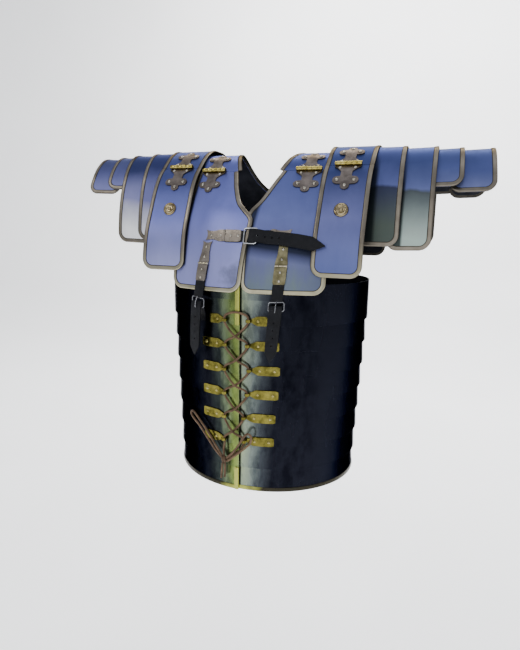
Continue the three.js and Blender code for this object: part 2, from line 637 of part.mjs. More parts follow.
// Tie hook: a riveted plate whose pointed end curls forward into an eye for the lace
function tieHook(i, side) {
  const { end, tip } = HOOK_PLACES[i][side < 0 ? 'right' : 'left'];
  const z = hoopBottom(i) + HOOK.above;
  const angleOf = (x) => Math.asin(x / HOOPS.widthTop);
  const flat = (x, half) => {
    const angle = angleOf(x);
    const normal = hoopNormal(i, side, angle, z);
    const foot = hoopSurface(i, side)(angle, z);
    return [-half, half].map((h) => ({
      inner: foot.clone().addScaledVector(normal, HOOK.low).setZ(z + h),
      outer: foot.clone().addScaledVector(normal, HOOK.low + HOOK.sheet).setZ(z + h),
    }));
  };
  const rows = [
    flat(end, HOOK.halfHeight), flat((end + tip) / 2 + HOOK.root, HOOK.halfHeight),
    flat(tip + HOOK.shoulder, HOOK.halfHeight), flat(tip + HOOK.root, HOOK.tipHalf),
  ];
  const angle = angleOf(tip);
  const normal = hoopNormal(i, side, angle, z);
  const inward = new THREE.Vector3(-side, 0, 0).addScaledVector(normal, side * normal.x).normalize();
  const centre = hoopSurface(i, side)(angle, z).addScaledVector(normal, HOOK.low + HOOK.curl);
  for (let k = 0; k <= 6; k += 1) {
    const turn = THREE.MathUtils.degToRad(-90 + 48 * k);
    const ray = inward.clone().multiplyScalar(Math.cos(turn)).addScaledVector(normal, Math.sin(turn));
    rows.push([-HOOK.tipHalf, HOOK.tipHalf].map((h) => ({
      inner: centre.clone().addScaledVector(ray, HOOK.curl).setZ(z + h),
      outer: centre.clone().addScaledVector(ray, HOOK.curl - HOOK.sheet).setZ(z + h),
    })));
  }
  return wall(rows);
}

// Strap or sheet fitting along a run of places, given by its distance along, its height
// out of what it lies on, its half width and, where it leans, the shift of its middle
function band(places, toSpace, thickness) {
  return wall(places.map((place, k) => {
    const before = places[Math.max(k - 1, 0)];
    const after = places[Math.min(k + 1, places.length - 1)];
    const along = new THREE.Vector2(after.u - before.u, after.out - before.out).normalize();
    const u = (along.y * thickness) / 2;
    const out = (along.x * thickness) / 2;
    return [-place.half, place.half].map((across) => ({
      inner: toSpace(place.u + u, place.shift + across, place.out - out),
      outer: toSpace(place.u - u, place.shift + across, place.out + out),
    }));
  }));
}

// Frame of four flat bars round a buckle's opening
function buckleFrame(from, to, half, rod, out, thick, toSpace) {
  const bar = (a, b, middle, halfBar) => band(
    [a, b].map((u) => ({ u, out, half: halfBar, shift: middle })), toSpace, thick);
  const step = to > from ? rod : -rod;
  return [
    bar(from, from + step, 0, half), bar(to - step, to, 0, half),
    bar(from, to, half - rod / 2, rod / 2), bar(from, to, -half + rod / 2, rod / 2),
  ];
}

const chestS = bodyAtHeight(CHEST_Z);
const acrossChest = (side) => (x, along, out) => lifted(breastSurface(side), chestS + along, x, out);

function chestFittingRight() {
  const { from, to, half, rod, thick, out } = CHEST_BUCKLE;
  const toSpace = acrossChest(-1);
  const sheet = CHEST_FITTING.map((row) => ({ u: row.x, out: row.out, half: row.half, shift: 0 }));
  return joined([band(sheet, toSpace, BRASS), ...buckleFrame(from, to, half, rod, out, thick, toSpace)]);
}

function chestFittingLeft() {
  const out = restLow + BRASS / 2;
  const places = CHEST_ANCHOR.map((row) => ({ u: row.x, out, half: row.half, shift: 0 }));
  return band(places, acrossChest(1), BRASS);
}

function chestStrap() {
  const { run, out: lower, foldX, foldRadius, half, drop } = CHEST_STRAP;
  const places = run.map((u) => ({ u, out: lower, half, shift: drop }));
  for (let turn = 45; turn <= 180; turn += 45) {
    const angle = THREE.MathUtils.degToRad(turn);
    const out = lower + foldRadius * (1 - Math.cos(angle));
    places.push({ u: foldX - foldRadius * Math.sin(angle), out, half, shift: drop });
  }
  for (const row of CHEST_STRAP_END) places.push({ u: row.x, out: row.out, half: row.half, shift: row.drop });
  return band(places, acrossChest(1), LEATHER);
}

// Drop fittings hang straight down the plate; their middle runs from one X to another
const dropX = (side, z) => {
  const place = side < 0 ? DROP_X.right : DROP_X.left;
  const t = (z - DROP_FITTING[0].z) / (DROP_FOOT - DROP_FITTING[0].z);
  return t < 1 ? place.top + (place.foot - place.top) * t : place.foot + place.lean * (DROP_FOOT - z);
};
const downPlate = (side) => (s, x, out) => lifted(breastSurface(side), s, x, out);
const dropOut = restLow + BRASS / 2 + SEAM; // height of a drop fitting's middle above the plate's
const dropPlaces = (side, rows) => rows.map((row) => (
  { u: bodyAtHeight(row.z), out: row.out ?? dropOut, half: row.half, shift: dropX(side, row.z) }));

const dropFitting = (side) => band(dropPlaces(side, DROP_FITTING), downPlate(side), BRASS);

function dropBuckle(side) {
  const { leatherTop, bar, foot, half, leatherHalf, rod, out } = DROP_BUCKLE;
  const end = bar - rod / 2;
  const run = [leatherTop, (leatherTop + end) / 2, end].map((z) => ({ z, out, half: leatherHalf }));
  const shifted = (s, x, h) => downPlate(side)(s, x + dropX(side, bar), h);
  const frame = buckleFrame(bodyAtHeight(bar), bodyAtHeight(foot), half, rod, out, rod, shifted);
  return joined([band(dropPlaces(side, run), downPlate(side), BUCKLE_LEATHER), ...frame]);
}

const dropStrap = (side) => band(dropPlaces(side, DROP_STRAP), downPlate(side), LEATHER);

function backLeather() {
  const { halfWidth, top, bottom, middleY, edgeY } = BACK_LEATHER;
  return wall([top, bottom].map((z) => [-halfWidth, 0, halfWidth].map((x) => {
    const y = x === 0 ? middleY : edgeY;
    return { inner: new THREE.Vector3(x, y - LEATHER, z), outer: new THREE.Vector3(x, y, z) };
  })));
}

// The lace: round tubes along the stretches of its route, drawn together in the knot
function lace() {
  const section = new THREE.Shape();
  section.absarc(0, 0, LACE / 2, 0, 2 * Math.PI);
  const tubes = Object.entries(LACE_ROUTE).map(([stretch, points]) => {
    const places = points.map((p) => new THREE.Vector3(...p));
    const path = new THREE.CatmullRomCurve3(places, false, 'catmullrom', 0.5);
    const shape = { steps: LACE_STEPS[stretch], bevelEnabled: false, extrudePath: path, curveSegments: 4 };
    return new THREE.ExtrudeGeometry(section, shape);
  });
  const knot = new THREE.SphereGeometry(1, 8, 6).scale(KNOT.wide, KNOT.deep, KNOT.deep);
  return joined([...tubes, knot.translate(KNOT.x, KNOT.y, KNOT.z)]);
}

for (const [word, side] of [['right', -1], ['left', 1]]) {
  for (let i = 0; i < HOOPS.count; i += 1) add(`hoop_${word}_${i + 1}`, hoop(i, side), darkSteel);
  for (let i = 0; i < HOOK_PLACES.length; i += 1) add(`tie_hook_${word}_${i + 1}`, tieHook(i, side), brass);
  add(`breastplate_${word}`, breastplate(side), blueSteel);
  add(`collar_plate_${word}`, collarPlate(side), blueSteel);
  add(`upper_guard_front_${word}`, upperGuardFront(side), blueSteel);
  add(`upper_guard_top_${word}`, upperGuardTop(side), blueSteel);
  LESSER.forEach((row, k) => add(`lesser_guard_${word}_${k + 1}`, lesserGuard(row, side), blueSteel));
  add(`collar_hinge_${word}`, fixedHinge(bodySurface, bodySeam, side * HINGE.collarX), brass);
  add(`drop_fitting_${word}`, dropFitting(side), brass);
  add(`drop_buckle_${word}`, dropBuckle(side), steelFitting);
  add(`drop_strap_${word}`, dropStrap(side), blackLeather);
}
add('guard_hinge_left', fixedHinge(guardSurface, guardSeam, HINGE.guardX), brass);
add('guard_hinge_right_upper', upperHingeHalf(-HINGE.guardX), brass);
add('guard_hinge_right_lower', lowerHingeHalf(-HINGE.guardX), brass);
add('chest_fitting_right', chestFittingRight(), brass);
add('chest_fitting_left', chestFittingLeft(), brass);
add('chest_strap', chestStrap(), blackLeather);
add('back_leather', backLeather(), brownLeather);
add('lace', lace(), brownLeather);

export default armour;
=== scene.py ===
# Roman segmented plate armour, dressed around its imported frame.
# Lengths are in millimetres until a piece's mesh is finished in metres.

import math

import bmesh
import bpy
from mathutils import Matrix, Vector


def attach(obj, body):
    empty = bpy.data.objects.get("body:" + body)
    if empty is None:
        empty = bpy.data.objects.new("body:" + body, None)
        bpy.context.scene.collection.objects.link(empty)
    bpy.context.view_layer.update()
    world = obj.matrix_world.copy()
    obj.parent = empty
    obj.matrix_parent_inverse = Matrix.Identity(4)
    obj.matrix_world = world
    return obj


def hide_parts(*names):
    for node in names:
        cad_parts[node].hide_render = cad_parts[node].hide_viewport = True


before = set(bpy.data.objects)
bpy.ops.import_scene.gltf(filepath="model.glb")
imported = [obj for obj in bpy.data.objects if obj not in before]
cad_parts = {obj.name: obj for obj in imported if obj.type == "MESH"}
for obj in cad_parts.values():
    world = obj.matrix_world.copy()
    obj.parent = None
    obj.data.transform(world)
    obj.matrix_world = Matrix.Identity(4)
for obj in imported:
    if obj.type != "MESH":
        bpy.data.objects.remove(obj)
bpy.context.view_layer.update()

# Camera
# It stands a little to the wearer's left of the front, at chest height and about a metre
# away, looks slightly down, and frames the armour upright in 520 by 650.
VIEW = {"azimuth": 18.46, "away": 1032.9, "height": -122.5, "turn": 1.02, "down": 11.27, "roll": 0.78}
FRAME_HIGH = 650
FOCAL = 522.1
SENSOR = 36.0

azimuth = math.radians(VIEW["azimuth"])
heading = azimuth + math.radians(VIEW["turn"])
down = math.radians(VIEW["down"])
roll = math.radians(VIEW["roll"])
ahead = Vector((-math.sin(heading) * math.cos(down), math.cos(heading) * math.cos(down), -math.sin(down)))
level = Vector((math.cos(heading), math.sin(heading), 0))
upright = level.cross(ahead)
camera_right = level * math.cos(roll) + upright * math.sin(roll)
camera_up = upright * math.cos(roll) - level * math.sin(roll)
camera_data = bpy.data.cameras.new("camera")
camera_data.sensor_fit = "VERTICAL"
camera_data.sensor_height = SENSOR
camera_data.lens = FOCAL * SENSOR / FRAME_HIGH
camera = bpy.data.objects.new("camera", camera_data)
bpy.context.collection.objects.link(camera)
turn = Matrix((camera_right, camera_up, -ahead)).transposed().to_4x4()
stand = Vector((VIEW["away"] * math.sin(azimuth), -VIEW["away"] * math.cos(azimuth), VIEW["height"]))
camera.matrix_world = Matrix.Translation(stand * 0.001) @ turn
bpy.context.scene.camera = camera

# Lace
# One round leather thong, threaded up and down through the curled tips of the tie hooks
# and drawn into a bow at the bottom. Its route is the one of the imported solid.
MM = 0.001
THONG = 4.0
LACE_ROUTE = {
    "first_tail": [(-31, -168, -585), (-29.5, -168.5, -563), (-27, -168.5, -548)],
    "long_loop": [
        (-30, -168.2, -541), (-46, -164.5, -522), (-63, -159.5, -502), (-84, -151, -484),
        (-99, -143.5, -474), (-105, -140.5, -479), (-98, -144, -487.5), (-82, -152, -497),
        (-64, -159.5, -513), (-46, -164.5, -532), (-30, -168.2, -545),
    ],
    "crossings": [
        (-26, -168, -543), (-27, -166.4, -527), (-25.5, -165, -516), (-25.5, -165, -504),
        (-9, -165.2, -492), (7, -162.6, -472), (7, -162.6, -460), (-8, -165.2, -449),
        (-24.5, -165, -428), (-24.5, -165, -416), (-4, -165.2, -405), (16, -162.4, -384),
        (16, -162.4, -372), (-3, -165.2, -361), (-23.5, -165, -340), (-23.5, -165, -328),
        (-5, -165.2, -317), (14.5, -162.4, -297), (15.5, -162.4, -284), (8, -164.5, -278.5),
        (-5, -166, -276), (-18, -165.6, -278.5), (-25.8, -165, -284), (-25, -165, -297),
        (-5, -170, -317), (13, -162.4, -328), (13, -162.4, -341), (-5, -170, -361),
        (-24.5, -165, -372), (-24.5, -165, -385), (-5, -170, -405), (13, -162.4, -416),
        (13, -162.4, -429), (-5, -170, -449), (-24.5, -165, -460), (-24.5, -165, -473),
        (-8, -170, -492), (8, -162.6, -504), (9, -162.6, -516), (2, -165.6, -529),
        (-12, -167.6, -540), (-22, -168, -545),
    ],
    "short_loop": [
        (-20, -170, -543), (-6, -173, -529), (6, -174, -511), (15, -174, -496), (22, -173.6, -490),
        (28, -173.2, -495), (26, -173.6, -507), (15, -174, -519), (2, -173, -531), (-18, -170, -549),
    ],
    "second_tail": [(-24.5, -168.5, -548), (-23.5, -169, -563), (-24.5, -168.5, -582)],
}
LACE_STEPS = {"first_tail": 4, "long_loop": 5, "crossings": 5, "short_loop": 5, "second_tail": 4}
KNOT = {"at": (-25.5, -168.5, -546.5), "wide": 4.6, "flat": 0.8, "turns": 2, "pitch": 3.6, "steps": 28}


def smooth_points(points, steps):
    """Points on a smooth curve through the given ones, steps to each stretch"""
    rows = [Vector(p) for p in points]
    line = []
    for i in range(len(rows) - 1):
        a, b, c = rows[max(i - 1, 0)], rows[i], rows[i + 1]
        d = rows[min(i + 2, len(rows) - 1)]
        for k in range(steps):
            t = k / steps
            line.append(0.5 * (2 * b + (c - a) * t + (2 * a - 5 * b + 4 * c - d) * t * t
                               + (3 * b - a - 3 * c + d) * t ** 3))
    return line + [rows[-1]]


def cord_curve(name, points, diameter, material, cyclic=False):
    """Round cord or rod along points in millimetres, in the fixed body"""
    curve = bpy.data.curves.new(name, "CURVE")
    curve.dimensions = "3D"
    curve.bevel_depth = diameter / 2 * MM
    curve.bevel_resolution = 3
    curve.use_fill_caps = True
    spline = curve.splines.new("POLY")
    spline.points.add(len(points) - 1)
    for place, point in zip(spline.points, points):
        place.co = (*(Vector(point) * MM), 1)
    spline.use_cyclic_u = cyclic
    curve.materials.append(material)
    piece = bpy.data.objects.new(name, curve)
    bpy.context.collection.objects.link(piece)
    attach(piece, "root")
    return piece


class Finish:
    """Nodes of one material, with the parts that most finishes share"""

    def __init__(self, name, metallic):
        self.material = bpy.data.materials.new(name)
        self.material.use_nodes = True
        self.tree = self.material.node_tree
        self.shader = self.tree.nodes["Principled BSDF"]
        self.shader.inputs["Metallic"].default_value = metallic
        self.coords = self.tree.nodes.new("ShaderNodeTexCoord").outputs["Object"]

    def node(self, kind, **values):
        made = self.tree.nodes.new(kind)
        for key, value in values.items():
            if hasattr(made, key):
                setattr(made, key, value)
            else:
                made.inputs[key.replace("_", " ").title()].default_value = value
        return made

    def link(self, source, target):
        self.tree.links.new(source, target)

    def fill(self, socket, value):
        """Gives a socket a number, a colour or another node's output"""
        if isinstance(value, (int, float)):
            socket.default_value = value
        elif isinstance(value, tuple):
            socket.default_value = (*value, 1)
        else:
            self.link(value, socket)

    def axes(self):
        """Outputs for X, Y and Z of the place on the piece"""
        split = self.node("ShaderNodeSeparateXYZ")
        self.link(self.coords, split.inputs["Vector"])
        return split.outputs["X"], split.outputs["Y"], split.outputs["Z"]

    def stretched(self, scale):
        """Places scaled along each axis, which draws a texture out"""
        mapping = self.node("ShaderNodeMapping")
        mapping.inputs["Scale"].default_value = scale
        self.link(self.coords, mapping.inputs["Vector"])
        return mapping.outputs["Vector"]

    def noise(self, scale, detail=3.0, stretch=None, roughness=0.5):
        made = self.node("ShaderNodeTexNoise", scale=scale, detail=detail, roughness=roughness)
        self.link(self.stretched(stretch) if stretch else self.coords, made.inputs["Vector"])
        return made.outputs["Fac"]

    def measured(self, operation, vector):
        """Distance from, or dot product with, a vector"""
        made = self.node("ShaderNodeVectorMath", operation=operation)
        self.link(self.coords, made.inputs[0])
        made.inputs[1].default_value = vector
        return made.outputs["Value"]

    def ramp(self, source, stops):
        made = self.node("ShaderNodeValToRGB")
        elements = made.color_ramp.elements
        while len(elements) < len(stops):
            elements.new(0.5)
        for element, (place, colour) in zip(elements, stops):
            element.position = place
            element.color = (*colour, 1)
        self.link(source, made.inputs["Fac"])
        return made.outputs["Color"]

    def ranged(self, source, low, high, to_low, to_high):
        made = self.node("ShaderNodeMapRange")
        for key, value in zip(("From Min", "From Max", "To Min", "To Max"), (low, high, to_low, to_high)):
            made.inputs[key].default_value = value
        self.link(source, made.inputs["Value"])
        return made.outputs["Result"]

    def mixed(self, amount, first, second, blend="MIX"):
        made = self.node("ShaderNodeMix", data_type="RGBA", blend_type=blend)
        self.fill(made.inputs[0], amount)
        self.fill(made.inputs[6], first)
        self.fill(made.inputs[7], second)
        return made.outputs[2]

    def maths(self, operation, first, second=0.0):
        made = self.node("ShaderNodeMath", operation=operation)
        self.fill(made.inputs[0], first)
        self.fill(made.inputs[1], second)
        return made.outputs[0]

    def plus(self, first, second):
        return self.maths("ADD", first, second)

    def times(self, first, second):
        return self.maths("MULTIPLY", first, second)

    def bump(self, height, strength, distance):
        made = self.node("ShaderNodeBump")
        made.inputs["Strength"].default_value = strength
        made.inputs["Distance"].default_value = distance
        self.link(height, made.inputs["Height"])
        self.link(made.outputs["Normal"], self.shader.inputs["Normal"])

    def colour(self, source):
        self.link(source, self.shader.inputs["Base Color"])

    def roughness(self, source, low, high):
        """Roughness between two values, by a noise"""
        self.link(self.ranged(source, 0.3, 0.7, low, high), self.shader.inputs["Roughness"])

    def edge_tint(self, tint):
        self.shader.inputs["Specular Tint"].default_value = (*tint, 1)


def leather_finish(name, dark, light, roughness=(0.45, 0.7)):
    """Leather: mottled dye, a fine pebbled grain and a low sheen"""
    finish = Finish(name, 0)
    finish.colour(finish.ramp(finish.noise(60, 5, roughness=0.6), [(0.3, dark), (0.7, light)]))
    finish.roughness(finish.noise(140, 3), *roughness)
    pebble = finish.node("ShaderNodeTexVoronoi", scale=900)
    finish.link(finish.coords, pebble.inputs["Vector"])
    finish.bump(finish.plus(pebble.outputs["Distance"], finish.noise(300, 4)), 0.35, 0.0004)
    finish.shader.inputs["Specular IOR Level"].default_value = 0.16
    return finish.material


thong_leather = leather_finish("thong_leather", (0.055, 0.032, 0.018), (0.17, 0.105, 0.062))
route = []
for stretch, points in LACE_ROUTE.items():
    route += smooth_points(points, LACE_STEPS[stretch])
lace = cord_curve("lace", route, THONG, thong_leather)
wrap = []
for k in range(KNOT["steps"] + 1):
    share = k / KNOT["steps"]
    angle = 2 * math.pi * KNOT["turns"] * share
    wrap.append(Vector(KNOT["at"]) + Vector((
        KNOT["pitch"] * KNOT["turns"] * (share - 0.5), KNOT["flat"] * KNOT["wide"] * math.cos(angle),
        KNOT["wide"] * math.sin(angle))))
knot = cord_curve("lace_knot", wrap, THONG, thong_leather)
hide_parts("lace")

# Half hoops
# Sixteen strips of sheet steel, each rolled to half the waist, the foot of one lapping
# outside the head of the next. The first and last on the wearer's right have a brass
# edge at the opening, and the last pair has one along the hem.
HOOPS = {
    "count": 8, "top": -227, "first_bottom": -299, "last_bottom": -606, "lap": 12, "wide_top": 193,
    "wide_bottom": 176, "right": 160.6, "left": 157, "back": 151.8, "back_opening": 1.6, "steps": 96,
    "rows": 6, "edge_rows": 8,
}
SHEET = 1.4
TUCK = SHEET + 0.8
FRONT_EDGE = {"right": 0.2, "left": -1.5}  # distance from the middle: the right hoops lap over the left
SIDES = (("right", -1), ("left", 1))
# Painted reflections on the polished hoops: near black for the dark surroundings, with pale green and
# silver streaks beside the front opening
DARK_REFLECTION = (0.011, 0.012, 0.018)
REFLECTION_REACH = 0.06
GREEN_REFLECTION = [
    (0, (0.24, 0.30, 0.08)), (0.2, (0.17, 0.23, 0.06)), (0.45, (0.15, 0.19, 0.11)),
    (0.62, (0.04, 0.05, 0.045)), (1, (0.012, 0.013, 0.018)),
]
SILVER_REFLECTION = [
    (0, (0.30, 0.35, 0.21)), (0.15, (0.24, 0.29, 0.21)), (0.4, (0.15, 0.18, 0.165)),
    (0.62, (0.045, 0.052, 0.06)), (1, DARK_REFLECTION),
]
# Section of the brass edging, folded over the rim: distance in from the edge, and out of the sheet
BINDING = [
    (8, 0.8), (7.9, 1.1), (6.7, 1.45), (4.6, 1.6), (2.8, 1.75), (1.2, 1.6), (0.2, 1.0),
    (-0.1, 0.3), (-0.1, -0.5), (0.8, -0.95), (5.5, -0.95), (5.5, -0.75), (0.4, -0.75), (0.4, 0.8),
]
hoop_pitch = (HOOPS["first_bottom"] - HOOPS["last_bottom"]) / (HOOPS["count"] - 1)


def hoop_bottom(i):
    return HOOPS["first_bottom"] - hoop_pitch * i


def hoop_size(i, side):
    """Half width, front depth and back depth of a hoop's foot"""
    narrowing = (HOOPS["wide_top"] - HOOPS["wide_bottom"]) / (HOOPS["count"] - 1)
    front = HOOPS["right"] if side < 0 else HOOPS["left"]
    return HOOPS["wide_top"] - narrowing * i, front, HOOPS["back"]


def hoop_point(i, side, angle, z):
    """Point on a hoop's middle surface, with its outward normal"""
    wide, front, back = hoop_size(i, side)
    deep = front if math.cos(angle) > 0 else back
    point = Vector((side * wide * math.sin(angle), -deep * math.cos(angle), z))
    normal = Vector((point.x / wide ** 2, point.y / deep ** 2, 0)).normalized()
    return point, normal


def finished(name, bm, materials, nodes, body="root", sharp=40):
    """Object from a bmesh in millimetres, riding on its body and standing for its nodes"""
    bmesh.ops.scale(bm, vec=(MM, MM, MM), verts=bm.verts)
    mesh = bpy.data.meshes.new(name)
    bm.to_mesh(mesh)
    bm.free()
    mesh.shade_smooth()
    mesh.set_sharp_from_angle(angle=math.radians(sharp))
    for material in materials if isinstance(materials, tuple) else (materials,):
        mesh.materials.append(material)
    piece = bpy.data.objects.new(name, mesh)
    bpy.context.collection.objects.link(piece)
    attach(piece, body)
    if nodes:
        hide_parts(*nodes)
    return piece


def faced_out(bm, axis, at):
    """Turns a sheet's faces away from the line through a place along an axis"""
    total = 0
    for face in bm.faces:
        way = face.calc_center_median() - Vector(at)
        way[axis] = 0
        total += face.normal.dot(way)
    if total < 0:
        bmesh.ops.reverse_faces(bm, faces=bm.faces)


def sheet_thickness(piece, thickness, rounding, even=True):
    """Gives a surface its sheet thickness and softens its cut edges"""
    solid = piece.modifiers.new("thickness", "SOLIDIFY")
    solid.thickness = thickness * MM
    solid.offset = 0
    solid.use_even_offset = even
    solid.material_offset = len(piece.data.materials) - 1
    bevel = piece.modifiers.new("rounding", "BEVEL")
    bevel.width = rounding * MM
    bevel.segments = 2
    bevel.limit_method = "ANGLE"
    bevel.angle_limit = math.radians(50)
    bevel.harden_normals = True


def edging_tube(path, bright=None):
    """Closed edging along a path of (point, inward, outward) places; bright are the section's
    faces that take the first material, where there are two; the rims take the second, a painted shade"""
    columns = len(BINDING) + 1
    bm = bmesh.new()
    made = bmesh.ops.create_grid(bm, x_segments=columns - 1, y_segments=len(path) - 1, size=0.5)
    for face in bm.faces:
        j = int((face.calc_center_median().x + 0.5) * (columns - 1))
        face.material_index = 1 if bright and j not in bright else 0
    for vertex in made["verts"]:
        i = round((vertex.co.y + 0.5) * (len(path) - 1))
        j = round((vertex.co.x + 0.5) * (columns - 1)) % len(BINDING)
        point, inward, outward = path[i]
        across, out = BINDING[j]
        vertex.co = point + inward * across + outward * out
    bmesh.ops.remove_doubles(bm, verts=made["verts"], dist=1e-4)
    rims = [e for e in bm.edges if e.is_boundary]
    bmesh.ops.holes_fill(bm, edges=rims, sides=len(BINDING))
    bmesh.ops.recalc_face_normals(bm, faces=bm.faces)
    return bm


def hoop_steel():
    """Polished steel: painted reflections, near black with pale upright streaks by the front opening"""
    finish = Finish("hoop_steel", 1)
    x, y, z = finish.axes()
    streaks = finish.noise(60, 4, stretch=(1, 1, 0.2), roughness=0.6)
    mottle = finish.noise(55, 3, stretch=(1, 1, 0.5), roughness=0.6)
    above_first = finish.plus(z, -HOOPS["first_bottom"] * MM)
    up_the_hoop = finish.maths("FRACT", finish.times(above_first, 1 / (hoop_pitch * MM)))
    away = finish.maths("ABSOLUTE", x)
    away = finish.plus(away, finish.ranged(up_the_hoop, 0, 1, 0.0035, -0.0035))
    away = finish.plus(away, finish.ranged(streaks, 0.3, 0.7, -0.004, 0.004))
    # Painted reflection: a green streak on the right hoops and a silver one on the left, near black further
    # round
    share = finish.ranged(away, 0, REFLECTION_REACH, 0, 1)
    left_of_middle = finish.ranged(x, -0.002, 0.002, 0, 1)
    green_reflection = finish.ramp(share, GREEN_REFLECTION)
    silver_reflection = finish.ramp(share, SILVER_REFLECTION)
    bright = finish.mixed(left_of_middle, green_reflection, silver_reflection)
    cloudy = finish.ramp(mottle, [(0.34, (0.45, 0.45, 0.50)), (0.56, (1, 1, 1))])
    bright = finish.mixed(1.0, bright, cloudy, "MULTIPLY")
    # Painted shadow that the right hoops' proud front edge casts on the left hoops
    edge_shadow = finish.times(finish.ranged(x, -0.0002, 0.0001, 0, 1),
                             finish.ranged(x, 0.0018, 0.0042, 0.94, 0))
    bright = finish.mixed(edge_shadow, bright, (0.004, 0.004, 0.005))
    in_front = finish.ranged(y, -0.10, -0.13, 0, 1)
    finish.colour(finish.mixed(in_front, DARK_REFLECTION, bright))
    finish.edge_tint((0.06, 0.06, 0.08))
    finish.roughness(finish.noise(25, 5, stretch=(1, 1, 0.3)), 0.20, 0.32)
    fine = finish.times(finish.noise(700, 2, stretch=(1, 1, 0.05)), 0.03)
    finish.bump(finish.plus(finish.noise(22, 2, stretch=(1, 1, 0.4)), fine), 0.14, 0.0012)
    return finish.material


def inner_steel():
    """The unpolished back of the sheets, near black in darker and lighter clouds"""
    finish = Finish("inner_steel", 1)
    finish.colour(finish.ramp(finish.noise(30, 4), [(0.3, (0.010, 0.011, 0.014)),
                                                    (0.7, (0.026, 0.027, 0.034))]))
    finish.roughness(finish.noise(90, 3), 0.42, 0.6)
    finish.edge_tint((0.1, 0.1, 0.12))
    finish.bump(finish.noise(160, 3), 0.1, 0.0004)
    return finish.material


def opening_brass():
    """Brass of the hoops' edging, with painted reflection: bright yellow at the front opening, dark further
    round
    """
    finish = Finish("opening_brass", 1)
    x, _, _ = finish.axes()
    ragged = finish.ranged(finish.noise(60, 3), 0.3, 0.7, -0.008, 0.008)
    away = finish.plus(finish.maths("ABSOLUTE", x), ragged)
    # Painted dark reflection further round from the opening
    painted_dark = finish.ranged(away, 0.012, 0.045, 0, 1)
    finish.colour(finish.mixed(painted_dark, (0.40, 0.41, 0.09), (0.035, 0.032, 0.022)))
    finish.roughness(finish.noise(180, 4), 0.26, 0.42)
    finish.bump(finish.noise(350, 3), 0.1, 0.0003)
    return finish.material


dark_steel = hoop_steel()
inside_steel = inner_steel()
hoop_brass = opening_brass()
for word, side in SIDES:
    for i in range(HOOPS["count"]):
        wide, front, back = hoop_size(i, side)
        bottom = hoop_bottom(i)
        top = HOOPS["top"] if i == 0 else hoop_bottom(i - 1) + HOOPS["lap"]
        tuck = 0 if i == 0 else TUCK / wide
        start = math.asin(FRONT_EDGE[word] / wide)
        sweep = math.pi - start - math.asin(HOOPS["back_opening"] / wide)
        bm = bmesh.new()
        profile = []
        for k in range(HOOPS["rows"] + 1):
            t = k / HOOPS["rows"]
            profile.append(bm.verts.new((0, -(1 - tuck * (1 - t)), top + (bottom - top) * t)))
        for a, b in zip(profile, profile[1:]):
            bm.edges.new((a, b))
        bmesh.ops.rotate(bm, verts=bm.verts, matrix=Matrix.Rotation(side * start, 3, "Z"))
        bmesh.ops.spin(bm, geom=bm.verts[:] + bm.edges[:], axis=(0, 0, 1), cent=(0, 0, 0),
                       angle=side * sweep, steps=HOOPS["steps"])
        ahead_half = [v for v in bm.verts if v.co.y < 0]
        back_half = [v for v in bm.verts if v.co.y >= 0]
        bmesh.ops.scale(bm, vec=(wide, front, 1), verts=ahead_half)
        bmesh.ops.scale(bm, vec=(wide, back, 1), verts=back_half)
        bmesh.ops.recalc_face_normals(bm, faces=bm.faces)
        faced_out(bm, 2, (0, 0, 0))
        hoop = finished(f"half_hoop_{word}_{i + 1}", bm, (dark_steel, inside_steel),
                        [f"hoop_{word}_{i + 1}"])
        sheet_thickness(hoop, SHEET, rounding=0.4)
        hem = i == HOOPS["count"] - 1
        if side < 0 and (i == 0 or hem):
            head = top if i == 0 else hoop_bottom(i - 1) - 1
            path = []
            for k in range(HOOPS["edge_rows"] + 1):
                z = head + (bottom - head) * k / HOOPS["edge_rows"]
                point, normal = hoop_point(i, side, start, z)
                path.append((point, Vector((side, 0, 0)), normal))
            finished(f"hoop_edge_{word}_{i + 1}", edging_tube(path), hoop_brass, [])
        if hem:
            path = []
            for k in range(HOOPS["steps"] + 1):
                point, normal = hoop_point(i, side, start + sweep * k / HOOPS["steps"], bottom)
                path.append((point, Vector((0, 0, 1)), normal))
            finished(f"hem_edge_{word}", edging_tube(path), hoop_brass, [])

# Tie hooks
# Twelve small plates of brass, riveted beside the opening on the first six pairs of
# hoops, each drawn to a point that is curled forward into an eye for the lace.
HOOK = {
    "above": 8.5, "half": 8.4, "end_nip": 1.6, "tip_half": 2.6, "neck": 3, "taper": 12, "rows": 12,
    "curl": 4.6, "curl_rows": 16, "curl_start": -80, "curl_step": 18, "sheet": 1.2, "low": 1.3,
}
HOOK_PLACES = [  # distance of the outer end and of the tip from the middle
    {"right": (58, 26), "left": (48, 16)}, {"right": (74, 25), "left": (68, 15)},
    {"right": (73, 26), "left": (70, 18)}, {"right": (73, 26), "left": (68, 15)},
    {"right": (73, 26), "left": (64, 9)}, {"right": (71, 27), "left": (62, 10)},
]
HOOK_RIVET = {"radius": 2.9, "height": 0.55, "from_tip_first": 16, "from_tip": 18, "from_end": 9}


def small_metal(name, dark, light, roughness):
    """Metal of fittings and rivets: lightly tarnished in clouds, with a fine grain"""
    finish = Finish(name, 1)
    finish.colour(finish.ramp(finish.noise(70, 5, roughness=0.6), [(0.35, dark), (0.65, light)]))
    finish.roughness(finish.noise(180, 4), *roughness)
    finish.edge_tint((0.4, 0.38, 0.34))
    finish.bump(finish.noise(350, 3), 0.12, 0.0003)
    return finish.material


def laid_sheet(rows, columns, point):
    """Grid of rows and columns whose points are placed one by one"""
    bm = bmesh.new()
    made = bmesh.ops.create_grid(bm, x_segments=columns - 1, y_segments=rows - 1, size=0.5)
    for vertex in made["verts"]:
        i = round((vertex.co.y + 0.5) * (rows - 1))
        j = round((vertex.co.x + 0.5) * (columns - 1))
        vertex.co = point(i, j)
    bmesh.ops.recalc_face_normals(bm, faces=bm.faces)
    return bm


